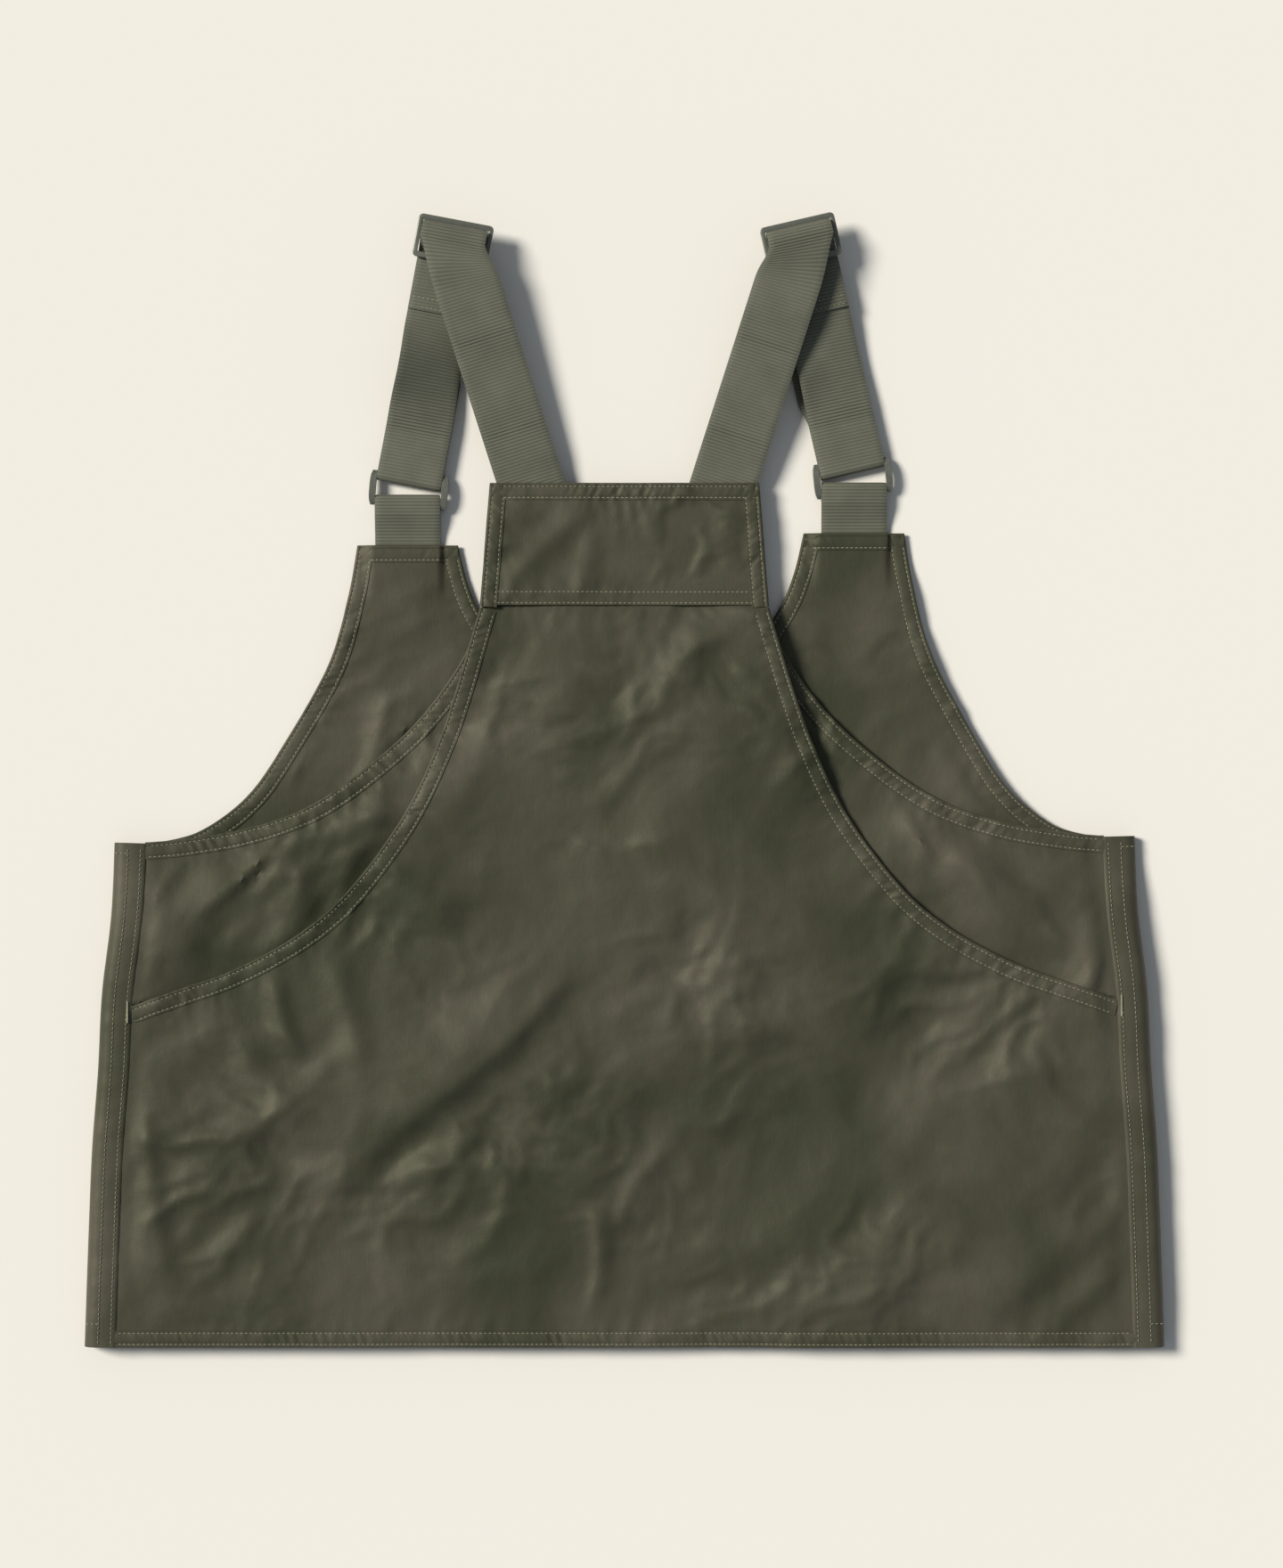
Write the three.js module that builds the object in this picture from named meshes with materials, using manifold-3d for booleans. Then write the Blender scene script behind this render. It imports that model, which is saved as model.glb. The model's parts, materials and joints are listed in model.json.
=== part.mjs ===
// A pull-over smock apron, folded at the shoulders and laid flat, front up, on the plane z = 0.
// X runs across the garment, +Y from the hem towards the shoulders, +Z up from the floor, in millimetres.
import * as THREE from "three";
import { mergeVertices } from "three/addons/utils/BufferGeometryUtils.js";
import Module from "manifold-3d";

const wasm = await Module();
wasm.setup();

// Cloth, tape and clearances.
const CLOTH = 1.2; // thickness of a panel's solid
const TAPE = 0.8; // thickness of a binding or hem
const TAPE_WIDTH = 9.5; // width of a binding or hem, seen from the front
const GAP = 0.3; // between pieces that are sewn together
const TORSO_GAP = 7; // between the rear panel and the front panel
const POCKET_GAP = 5.2; // between the front panel and the pocket panel

// Garment outline. Heights are measured from the hem.
const HEM_HALF_WIDTH = 312;
const PIT_HALF_WIDTH = 295;
const SIDE_BAND = 18; // width of the side band from its seam to the outer fold
const BIB_HEIGHT = 498;
const BIB_TOP_HALF_WIDTH = 77.5;
const BIB_SEAM_HALF_WIDTH = 83;
const YOKE_HEIGHT = 71;
const YOKE_LAP = 9; // how far the pocket panel runs up under the yoke
const YOKE_INSET = 1; // of the pocket panel's lap from the bib's edge
const MOUTH_DROP = 94; // from the armpit down to the pocket mouth's end on the side seam
const LOBE_MARGIN = 10.25; // of a shoulder lobe beyond each edge of its webbing
const NECK_DEPTH = 88; // from a shoulder lobe's top down to the back neckline

// Webbing and hardware.
const WEB_WIDTH = 37.5;
const WEB = 1.2; // webbing thickness
const WEB_SEWN = 13; // length sewn in under a hem
const STRAP_LEAN = 17.8; // of the front run, away from the centre line, in degrees
const STRAP_LENGTH = 146; // of the front run, from the bib to the fold
const FOLD_RADIUS = 7.5; // outside of the webbing where it turns through the slider
const FOLD_RISE = 5.5; // from the bib's face up to the top of the fold
const LOOP_LEG = 25; // length of the webbing loop that swings with the ring
const TAB_LENGTH = 24; // from a lobe's top to the ring's lower bar
const WIRE = 3; // ring wire diameter
const LOOP_GAP = 0.4; // between the two loops in a ring that sits fully askew
const RING_CORNER = 3; // radius to the middle of the wire
const RING_SKEW = 0.128; // slope at which the ring may sit across its webbing
const HARDWARE_PLAY = 1; // from the webbing's edge to a ring's or slider's side
const SLIDER_LENGTH = 25;
const SLIDER_BAR = 3.2; // width of a slider bar
const SLIDER_THICKNESS = 2.4;
const SLIDER_RAIL = 2.6; // width of the slider's sides

// The garment lies a little unevenly, so each side has its own armpit, shoulder lobe and strap base.
const SIDES = [
  { name: "left", sign: -1, pit: 290.7, lobeX: 125.5, lobeTop: 462.5, strapX: 54 },
  { name: "right", sign: 1, pit: 294.6, lobeX: 132.8, lobeTop: 469.5, strapX: 57 },
];

// Heights of the layers above the floor.
const REAR_Z = 0;
const BODY_Z = REAR_Z + CLOTH + TORSO_GAP;
const POCKET_Z = BODY_Z + CLOTH + POCKET_GAP;
const YOKE_Z = POCKET_Z + CLOTH + GAP;
const RING_Z = REAR_Z + CLOTH + GAP + WEB + GAP + WIRE / 2;
const FOLD_Z = YOKE_Z + CLOTH - FOLD_RADIUS + FOLD_RISE;
const BIB_SEAM_Y = BIB_HEIGHT - YOKE_HEIGHT;

const LOBE_TOP_WIDTH = WEB_WIDTH + 2 * LOBE_MARGIN;
const BAR_SLACK = WEB_WIDTH / 2 * RING_SKEW; // extra length inside a loop, so that the ring can sit askew
const LOOP_DEPTH = WIRE / 2 + GAP + WEB + BAR_SLACK; // from a bar's middle to the outside of its loop
const RING_SPACING = 2 * LOOP_DEPTH + WEB_WIDTH * RING_SKEW + LOOP_GAP; // between the ring's two bars

// Curved edges as shares of the way from their first end to their second, across and along.
const REAR_ARMHOLE = [
  [0, 0], [0.048, 0.19], [0.135, 0.4], [0.32, 0.635], [0.51, 0.835], [0.724, 0.955], [0.9, 0.995], [1, 1],
];
const BODY_ARMHOLE = [
  [0, 0], [0.043, 0.187], [0.112, 0.347], [0.2, 0.5], [0.31, 0.645], [0.434, 0.78], [0.55, 0.87],
  [0.715, 0.945], [0.895, 0.988], [1, 1],
];
const POCKET_MOUTH = [
  [0, 0], [0.07, 0.21], [0.14, 0.38], [0.235, 0.545], [0.385, 0.72], [0.525, 0.823], [0.7, 0.907],
  [0.85, 0.955], [1, 1],
];
const SIDE_FOLD = [[0, 0], [0.1, 0.147], [0.41, 0.3], [0.54, 0.45], [0.74, 0.605], [0.85, 0.757], [1, 1]];
const BACK_NECK = [[0, 0], [0.053, 0.24], [0.133, 0.45], [0.3, 0.72], [0.55, 0.92], [0.8, 0.99], [1, 1]];
const CURVE_STEPS = 20;

const OLIVE_CLOTH = { color: 0x4a4a3a, roughness: 0.6, metalness: 0 };
const OLIVE_WEBBING = { color: 0x6b6b5b, roughness: 0.8, metalness: 0 };
const OLIVE_METAL = { color: 0x5f6054, roughness: 0.4, metalness: 0.8 };

const apron = new THREE.Group();

function point(x, y) {
  return new THREE.Vector2(x, y);
}

// Points of a smooth edge from one end to the other, through the shares in its table.
function edge(from, to, shares) {
  const through = shares.map(([u, v]) =>
    point(from.x + u * (to.x - from.x), from.y + v * (to.y - from.y)));
  return new THREE.SplineCurve(through).getPoints(CURVE_STEPS);
}

// The same points moved sideways: positive distances go to the right of the way the edge runs.
function offset(points, distance) {
  return points.map((p, i) => {
    const before = points[Math.max(i - 1, 0)];
    const after = points[Math.min(i + 1, points.length - 1)];
    const way = after.clone().sub(before).normalize();
    return point(p.x + way.y * distance, p.y - way.x * distance);
  });
}

function mirrored(points) {
  return points.map((p) => point(-p.x, p.y)).reverse();
}

// A flat outline raised from z to z + height.
function slab(points, z, height) {
  const shape = new THREE.Shape(points);
  return new THREE.ExtrudeGeometry(shape, { depth: height, bevelEnabled: false }).translate(0, 0, z);
}

function block(low, high) {
  const size = high.clone().sub(low);
  const middle = high.clone().add(low).multiplyScalar(0.5);
  return new THREE.BoxGeometry(size.x, size.y, size.z).translate(middle.x, middle.y, middle.z);
}

// An outline in the webbing's own side view (along the run, up), given the webbing's width.
function webbing(shape) {
  const geometry = new THREE.ExtrudeGeometry(shape, {
    depth: WEB_WIDTH, bevelEnabled: false, curveSegments: 10,
  });
  geometry.translate(0, 0, -WEB_WIDTH / 2);
  // The side view's x becomes the run's +Y, its y becomes +Z and its depth becomes +X.
  return geometry.applyMatrix4(new THREE.Matrix4().set(0, 0, 1, 0, 1, 0, 0, 0, 0, 1, 0, 0, 0, 0, 0, 1));
}

function solid(geometry) {
  const bare = geometry.clone();
  bare.deleteAttribute("normal");
  bare.deleteAttribute("uv");
  const merged = mergeVertices(bare, 1e-4);
  return new wasm.Manifold(new wasm.Mesh({
    numProp: 3,
    vertProperties: merged.attributes.position.array,
    triVerts: new Uint32Array(merged.index.array),
  }));
}

function geometryOf(manifold) {
  const mesh = manifold.getMesh();
  const geometry = new THREE.BufferGeometry();
  geometry.setAttribute("position", new THREE.BufferAttribute(mesh.vertProperties, 3));
  return geometry.setIndex(new THREE.BufferAttribute(mesh.triVerts, 1));
}

function join(...geometries) {
  return geometryOf(geometries.map(solid).reduce((all, next) => all.add(next)));
}

function cut(geometry, ...tools) {
  return geometryOf(tools.map(solid).reduce((rest, tool) => rest.subtract(tool), solid(geometry)));
}

function piece(name, geometry, look, parent = apron) {
  const mesh = new THREE.Mesh(geometry, new THREE.MeshStandardMaterial(look));
  mesh.name = name;
  parent.add(mesh);
  return mesh;
}

// Outer fold of a side, from the armpit down to the hem, on the right-hand half.
function sideFold(side) {
  return edge(point(PIT_HALF_WIDTH, side.pit), point(HEM_HALF_WIDTH, 0), SIDE_FOLD);
}

// Half outlines run from the centre line's hem outwards, up the side and back to the centre line.
function rearHalf(side) {
  const seam = offset(sideFold(side), SIDE_BAND + GAP).reverse();
  return [point(0, 0), point(seam[0].x, 0), ...seam.slice(1, -1), ...rearArmhole(side), ...backNeck(side)];
}

function rearArmhole(side) {
  const corner = point(side.lobeX + LOBE_TOP_WIDTH / 2, side.lobeTop);
  return edge(corner, point(PIT_HALF_WIDTH - SIDE_BAND - GAP, side.pit), REAR_ARMHOLE).reverse();
}

function backNeck(side) {
  const bottom = Math.min(...SIDES.map((s) => s.lobeTop)) - NECK_DEPTH;
  return edge(point(side.lobeX - LOBE_TOP_WIDTH / 2, side.lobeTop), point(0, bottom), BACK_NECK);
}

function frontSide(side, low) {
  const fold = offset(sideFold(side), TAPE + GAP + CLOTH).reverse();
  return [point(0, low), point(fold[0].x, low), ...fold.slice(1).filter((p) => p.y > low)];
}

function bodyArmhole(side) {
  const corner = point(BIB_SEAM_HALF_WIDTH, BIB_SEAM_Y);
  return edge(corner, point(PIT_HALF_WIDTH - SIDE_BAND, side.pit), BODY_ARMHOLE).reverse();
}

function bodyHalf(side) {
  return [
    ...frontSide(side, TAPE + GAP),
    ...bodyArmhole(side),
    point(BIB_TOP_HALF_WIDTH, BIB_HEIGHT),
    point(0, BIB_HEIGHT),
  ];
}

function mouthEnd(side) {
  const fold = sideFold(side);
  const level = side.pit - MOUTH_DROP;
  const after = fold.findIndex((p) => p.y < level);
  const share = (fold[after - 1].y - level) / (fold[after - 1].y - fold[after].y);
  return fold[after - 1].clone().lerp(fold[after], share).sub(point(SIDE_BAND, 0));
}

function pocketMouth(side) {
  return edge(point(BIB_SEAM_HALF_WIDTH, BIB_SEAM_Y), mouthEnd(side), POCKET_MOUTH).reverse();
}

function pocketHalf(side) {
  const end = mouthEnd(side);
  return [
    ...frontSide(side, TAPE + GAP).filter((p) => p.y < end.y - GAP),
    point(end.x + SIDE_BAND - TAPE - GAP - CLOTH, end.y),
    ...pocketMouth(side),
    point(BIB_SEAM_HALF_WIDTH - YOKE_INSET, BIB_SEAM_Y + YOKE_LAP),
    point(0, BIB_SEAM_Y + YOKE_LAP),
  ];
}

// Both halves of an outline, the right one as it is and the left one mirrored.
function whole(half) {
  const [left, right] = SIDES;
  const rightHalf = half(right);
  const leftHalf = mirrored(half(left));
  return [...rightHalf, ...leftHalf.slice(1, -1)].filter(
    (p, i, all) => i === 0 || p.distanceTo(all[i - 1]) > 0.01);
}

function atSide(side, points) {
  return side.sign > 0 ? points : mirrored(points);
}

// A tape along an edge: the edge and its copy moved inwards, cut off clear of its neighbours.
function tape(side, points, inwards, z, ...neighbours) {
  const strip = [...points, ...offset(points, inwards).reverse()];
  const outline = THREE.ShapeUtils.isClockWise(strip) ? strip.reverse() : strip;
  const raised = slab(atSide(side, outline), z, TAPE);
  return neighbours.length ? cut(raised, ...neighbours) : raised;
}

const FAR = 1000; // past every edge of the garment

// Everything beyond x on a side, or above or below a height.
function beyondX(side, x) {
  const edges = [side.sign * x, side.sign * FAR].sort((a, b) => a - b);
  return block(new THREE.Vector3(edges[0], -FAR, -FAR), new THREE.Vector3(edges[1], FAR, FAR));
}

function beyondY(low, high) {
  return block(new THREE.Vector3(-FAR, low, -FAR), new THREE.Vector3(FAR, high, FAR));
}

// Everything outside a side's seam, and a gap more, where the side band lies.
function beyondSeam(side) {
  const seam = offset(sideFold(side), SIDE_BAND + GAP);
  const outline = [
    point(FAR, FAR), point(seam[0].x, FAR), ...seam, point(seam[seam.length - 1].x, -FAR), point(FAR, -FAR),
  ];
  return slab(atSide(side, outline), -FAR, 2 * FAR);
}

function rearPanel() {
  piece("rear_panel", slab(whole(rearHalf), REAR_Z, CLOTH), OLIVE_CLOTH);
  const top = REAR_Z + CLOTH + GAP;
  const hem = [
    point(-HEM_HALF_WIDTH, 0), point(HEM_HALF_WIDTH, 0),
    point(HEM_HALF_WIDTH, TAPE_WIDTH), point(-HEM_HALF_WIDTH, TAPE_WIDTH),
  ];
  piece("rear_hem_band", cut(slab(hem, top, TAPE), ...SIDES.map(beyondSeam)), OLIVE_CLOTH);
  for (const side of SIDES) {
    const pit = beyondX(side, PIT_HALF_WIDTH - SIDE_BAND - GAP);
    piece(`rear_armhole_binding_${side.name}`,
      tape(side, rearArmhole(side), -TAPE_WIDTH, top, pit, beyondY(side.lobeTop, FAR)), OLIVE_CLOTH);
  }
  const [left, right] = SIDES;
  const neck = [...backNeck(right), ...mirrored(backNeck(left)).slice(1)];
  const band = [...neck, ...offset(neck, -TAPE_WIDTH).reverse()].reverse();
  const lobes = SIDES.map((side) => block(
    new THREE.Vector3(side.sign > 0 ? 0 : -FAR, side.lobeTop, -FAR),
    new THREE.Vector3(side.sign > 0 ? FAR : 0, FAR, FAR)));
  const outline = THREE.ShapeUtils.isClockWise(band) ? band.reverse() : band;
  piece("rear_neck_binding", cut(slab(outline, top, TAPE), ...lobes), OLIVE_CLOTH);
}

function bodyPanel() {
  piece("body_panel", slab(whole(bodyHalf), BODY_Z, CLOTH), OLIVE_CLOTH);
  for (const side of SIDES) {
    const pit = beyondX(side, PIT_HALF_WIDTH - SIDE_BAND - GAP);
    piece(`body_armhole_binding_${side.name}`,
      tape(side, bodyArmhole(side), -TAPE_WIDTH, BODY_Z + CLOTH + GAP, pit), OLIVE_CLOTH);
  }
}

function pocketPanel() {
  piece("pocket_panel", slab(whole(pocketHalf), POCKET_Z, CLOTH), OLIVE_CLOTH);
  for (const side of SIDES) {
    const yoke = beyondY(BIB_SEAM_Y - GAP, FAR);
    const top = POCKET_Z + CLOTH + GAP;
    piece(`pocket_mouth_binding_${side.name}`,
      tape(side, pocketMouth(side), -TAPE_WIDTH, top, beyondSeam(side), yoke), OLIVE_CLOTH);
  }
}

function bib() {
  const outline = [
    point(-BIB_SEAM_HALF_WIDTH, BIB_SEAM_Y),
    point(BIB_SEAM_HALF_WIDTH, BIB_SEAM_Y),
    point(BIB_TOP_HALF_WIDTH, BIB_HEIGHT),
    point(-BIB_TOP_HALF_WIDTH, BIB_HEIGHT),
  ];
  piece("bib_yoke", slab(outline, YOKE_Z, CLOTH), OLIVE_CLOTH);
  const top = YOKE_Z + CLOTH + GAP;
  const hem = slab(outline, top, TAPE);
  piece("bib_top_band", cut(hem, beyondY(-FAR, BIB_HEIGHT - TAPE_WIDTH)), OLIVE_CLOTH);
  for (const side of SIDES) {
    const run = [outline[1], outline[2]];
    piece(`bib_side_binding_${side.name}`,
      tape(side, run, -TAPE_WIDTH, top, beyondY(BIB_HEIGHT - TAPE_WIDTH - GAP, FAR)), OLIVE_CLOTH);
  }
}

// The side band folds round the side: a flange in the rear layer, a wall, and a flange over the pocket.
function sideBands() {
  const top = POCKET_Z + CLOTH + GAP;
  for (const side of SIDES) {
    const fold = sideFold(side);
    const strip = (width) => {
      const band = [...fold, ...offset(fold, width).reverse()];
      band.forEach((p) => { p.y = Math.min(Math.max(p.y, 0), side.pit); });
      const outline = THREE.ShapeUtils.isClockWise(band) ? band.reverse() : band;
      return atSide(side, outline);
    };
    piece(`side_band_${side.name}`, join(
      slab(strip(SIDE_BAND), REAR_Z, CLOTH),
      slab(strip(CLOTH), REAR_Z, top + CLOTH - REAR_Z),
      slab(strip(SIDE_BAND), top, CLOTH)), OLIVE_CLOTH);
  }
}

// The front hem is folded round the edges of the front panel and the pocket panel, and closes the pocket.
function frontHem() {
  const low = BODY_Z - GAP - TAPE;
  const high = POCKET_Z + CLOTH + GAP + TAPE;
  const outer = block(
    new THREE.Vector3(-HEM_HALF_WIDTH, 0, low), new THREE.Vector3(HEM_HALF_WIDTH, TAPE_WIDTH, high));
  const inner = block(
    new THREE.Vector3(-FAR, TAPE, low + TAPE), new THREE.Vector3(FAR, FAR, high - TAPE));
  piece("front_hem_band", cut(outer, inner, ...SIDES.map(beyondSeam)), OLIVE_CLOTH);
}

// Where a side's ring and fold lie, and how its two webbing runs stand to each other.
function strapLayout(side) {
  const lean = THREE.MathUtils.degToRad(STRAP_LEAN);
  const base = point(side.sign * side.strapX, BIB_HEIGHT);
  const fold = base.clone().add(
    point(side.sign * STRAP_LENGTH * Math.sin(lean), STRAP_LENGTH * Math.cos(lean)));
  const lower = point(side.sign * side.lobeX, side.lobeTop + TAB_LENGTH);
  const ringTurn = Math.atan2(lower.x - fold.x, fold.y - lower.y) / 2;
  const upper = lower.clone().add(
    point(-Math.sin(ringTurn) * RING_SPACING, Math.cos(ringTurn) * RING_SPACING));
  const backTurn = Math.atan2(upper.x - fold.x, fold.y - upper.y);
  return {
    base, fold, lower, upper, backTurn, ringTurn,
    frontTurn: -side.sign * lean,
    backLength: fold.distanceTo(upper),
  };
}

// A group whose +Y runs along a piece of webbing from the given place.
function run(place, z, turn) {
  const group = new THREE.Group();
  group.position.set(place.x, place.y, z);
  group.rotation.z = turn;
  apron.add(group);
  group.updateMatrixWorld(true);
  return group;
}

// A strip of webbing in side view, from one end's middle to the other's.
function strip(from, to) {
  const half = to.clone().sub(from).normalize().multiplyScalar(WEB / 2);
  return new THREE.Shape([
    point(from.x + half.y, from.y - half.x),
    point(to.x + half.y, to.y - half.x),
    point(to.x - half.y, to.y + half.x),
    point(from.x - half.y, from.y + half.x),
  ]);
}

// A webbing loop in side view: it turns round a bar at the origin and its two legs run to +x.
function loopShape(leg, inside, slack) {
  const shape = new THREE.Shape();
  shape.moveTo(leg, -inside - WEB);
  shape.lineTo(leg, -inside);
  shape.lineTo(-slack, -inside);
  shape.absarc(-slack, 0, inside, -Math.PI / 2, Math.PI / 2, true);
  shape.lineTo(leg, inside);
  shape.lineTo(leg, inside + WEB);
  shape.lineTo(-slack, inside + WEB);
  shape.absarc(-slack, 0, inside + WEB, Math.PI / 2, -Math.PI / 2, false);
  return shape;
}

// The strap from the bib up to the fold, round it through the slider, and down under to the ring's loop.
function strapWebbing(side) {
  const at = strapLayout(side);
  const middle = FOLD_RADIUS - WEB / 2;
  const back = run(at.upper, 0, at.backTurn);
  const lowLeg = webbing(strip(point(LOOP_LEG + GAP, RING_Z - WIRE / 2 - GAP - WEB / 2),
    point(at.backLength, FOLD_Z - middle)));
  const bend = new THREE.Shape();
  bend.absarc(at.backLength, FOLD_Z, FOLD_RADIUS, -Math.PI / 2, Math.PI / 2, false);
  bend.absarc(at.backLength, FOLD_Z, FOLD_RADIUS - WEB, Math.PI / 2, -Math.PI / 2, true);
  const bendSolid = webbing(bend);
  const front = run(at.base, 0, at.frontTurn);
  const baseZ = YOKE_Z - 2 * GAP - WEB / 2;
  const rise = (FOLD_Z + middle - baseZ) / STRAP_LENGTH;
  const topLeg = webbing(strip(point(-WEB_SEWN, baseZ - rise * WEB_SEWN),
    point(STRAP_LENGTH + WEB_WIDTH, FOLD_Z + middle + rise * WEB_WIDTH)));
  topLeg.applyMatrix4(front.matrixWorld).applyMatrix4(back.matrixWorld.clone().invert());
  const uncovered = block(
    new THREE.Vector3(-FAR, at.backLength + GAP / 3, -FAR), new THREE.Vector3(FAR, FAR, FAR));
  apron.remove(front);
  piece(`strap_webbing_${side.name}`, join(lowLeg, bendSolid, cut(topLeg, uncovered)), OLIVE_WEBBING, back);
}

// The webbing's loop round the ring's upper bar.
function ringLoop(side) {
  const at = strapLayout(side);
  const loop = webbing(loopShape(LOOP_LEG, WIRE / 2 + GAP, BAR_SLACK));
  piece(`strap_ring_loop_${side.name}`, loop, OLIVE_WEBBING, run(at.upper, RING_Z, at.backTurn));
}

// The webbing's end, which runs back up from the ring and is sewn in an eye round the slider's middle bar.
function strapReturn(side) {
  const at = strapLayout(side);
  const start = RING_Z + WIRE / 2 + GAP;
  const eye = Math.hypot(SLIDER_BAR, SLIDER_THICKNESS) / 2 + GAP;
  const middle = point(at.backLength, FOLD_Z);
  const shape = new THREE.Shape();
  shape.moveTo(LOOP_LEG + GAP, start);
  shape.lineTo(middle.x - SLIDER_LENGTH / 2, middle.y - eye - WEB - 2 * GAP);
  shape.lineTo(middle.x, middle.y - eye - WEB);
  shape.absarc(middle.x, middle.y, eye + WEB, -Math.PI / 2, Math.PI, false);
  shape.lineTo(middle.x - eye - WEB, middle.y - eye + GAP);
  shape.lineTo(middle.x - SLIDER_LENGTH / 2, middle.y - eye - 2 * GAP);
  shape.lineTo(LOOP_LEG + GAP, start + WEB);
  shape.holes.push(new THREE.Path().absarc(middle.x, middle.y, eye, 0, 2 * Math.PI, true));
  piece(`strap_return_${side.name}`, webbing(shape), OLIVE_WEBBING, run(at.upper, 0, at.backTurn));
}

// The short tab sewn to the shoulder lobe, with its loop round the ring's lower bar.
function tab(side) {
  const at = strapLayout(side);
  const leg = TAB_LENGTH + WEB_SEWN;
  const loop = webbing(loopShape(leg, WIRE / 2 + GAP, BAR_SLACK));
  loop.rotateZ(Math.PI);
  piece(`tab_webbing_${side.name}`, loop, OLIVE_WEBBING, run(at.lower, RING_Z, 0));
}

// A rectangular ring of round wire: a torus whose quarters are moved apart, in the plane z = 0.
function wireRing(halfWidth, halfHeight, cornerRadius, wire) {
  const section = [];
  const sides = 8;
  for (let i = 0; i <= sides; i += 1) {
    const angle = (2 * Math.PI * (i + 0.5)) / sides;
    const radius = wire / 2 / Math.cos(Math.PI / sides);
    section.push(point(cornerRadius + radius * Math.cos(angle), radius * Math.sin(angle)));
  }
  section[sides].copy(section[0]);
  const steps = 24;
  const ring = new THREE.LatheGeometry(section, steps, Math.PI / steps);
  const place = ring.attributes.position;
  for (let i = 0; i < place.count; i += 1) {
    const x = place.getX(i) + Math.sign(place.getX(i)) * (halfWidth - cornerRadius);
    const z = place.getZ(i) + Math.sign(place.getZ(i)) * (halfHeight - cornerRadius);
    place.setXYZ(i, x, place.getY(i), z);
  }
  return ring.rotateX(Math.PI / 2);
}

function ring(side) {
  const at = strapLayout(side);
  const halfWidth = WEB_WIDTH / 2 + HARDWARE_PLAY + WIRE / 2;
  const shape = wireRing(halfWidth, RING_SPACING / 2, RING_CORNER, WIRE).translate(0, RING_SPACING / 2, 0);
  piece(`strap_ring_${side.name}`, shape, OLIVE_METAL, run(at.lower, RING_Z, at.ringTurn));
}

// A three-bar slider: two slots in a flat plate with round corners, at the fold of the strap.
function slider(side) {
  const at = strapLayout(side);
  const halfWidth = WEB_WIDTH / 2 + HARDWARE_PLAY + SLIDER_RAIL;
  const corner = SLIDER_RAIL;
  const outline = new THREE.Shape();
  const half = SLIDER_LENGTH / 2;
  outline.absarc(halfWidth - corner, half - corner, corner, 0, Math.PI / 2, false);
  outline.absarc(corner - halfWidth, half - corner, corner, Math.PI / 2, Math.PI, false);
  outline.absarc(corner - halfWidth, corner - half, corner, Math.PI, 1.5 * Math.PI, false);
  outline.absarc(halfWidth - corner, corner - half, corner, 1.5 * Math.PI, 2 * Math.PI, false);
  const inner = halfWidth - SLIDER_RAIL;
  for (const way of [-1, 1]) {
    const low = way > 0 ? SLIDER_BAR / 2 : SLIDER_BAR - half;
    const high = way > 0 ? half - SLIDER_BAR : -SLIDER_BAR / 2;
    outline.holes.push(new THREE.Path([
      point(-inner, low), point(-inner, high), point(inner, high), point(inner, low),
    ]));
  }
  const plate = new THREE.ExtrudeGeometry(outline, {
    depth: SLIDER_THICKNESS, bevelEnabled: false, curveSegments: 5,
  });
  plate.translate(0, at.backLength, -SLIDER_THICKNESS / 2);
  piece(`strap_slider_${side.name}`, plate, OLIVE_METAL, run(at.upper, FOLD_Z, at.backTurn));
}

rearPanel();
sideBands();
bodyPanel();
pocketPanel();
bib();
frontHem();
for (const side of SIDES) {
  tab(side);
  ring(side);
  ringLoop(side);
  strapReturn(side);
  slider(side);
  strapWebbing(side);
}

// The origin is under the middle of the garment's box.
apron.updateMatrixWorld(true);
const bounds = new THREE.Box3().setFromObject(apron);
const centre = bounds.getCenter(new THREE.Vector3());
apron.position.set(-centre.x, -centre.y, -bounds.min.z);

export default apron;
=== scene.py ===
import json
import math

import bmesh
import bpy
import numpy as np
from mathutils import Matrix, Vector
from mathutils.geometry import delaunay_2d_cdt


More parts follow.
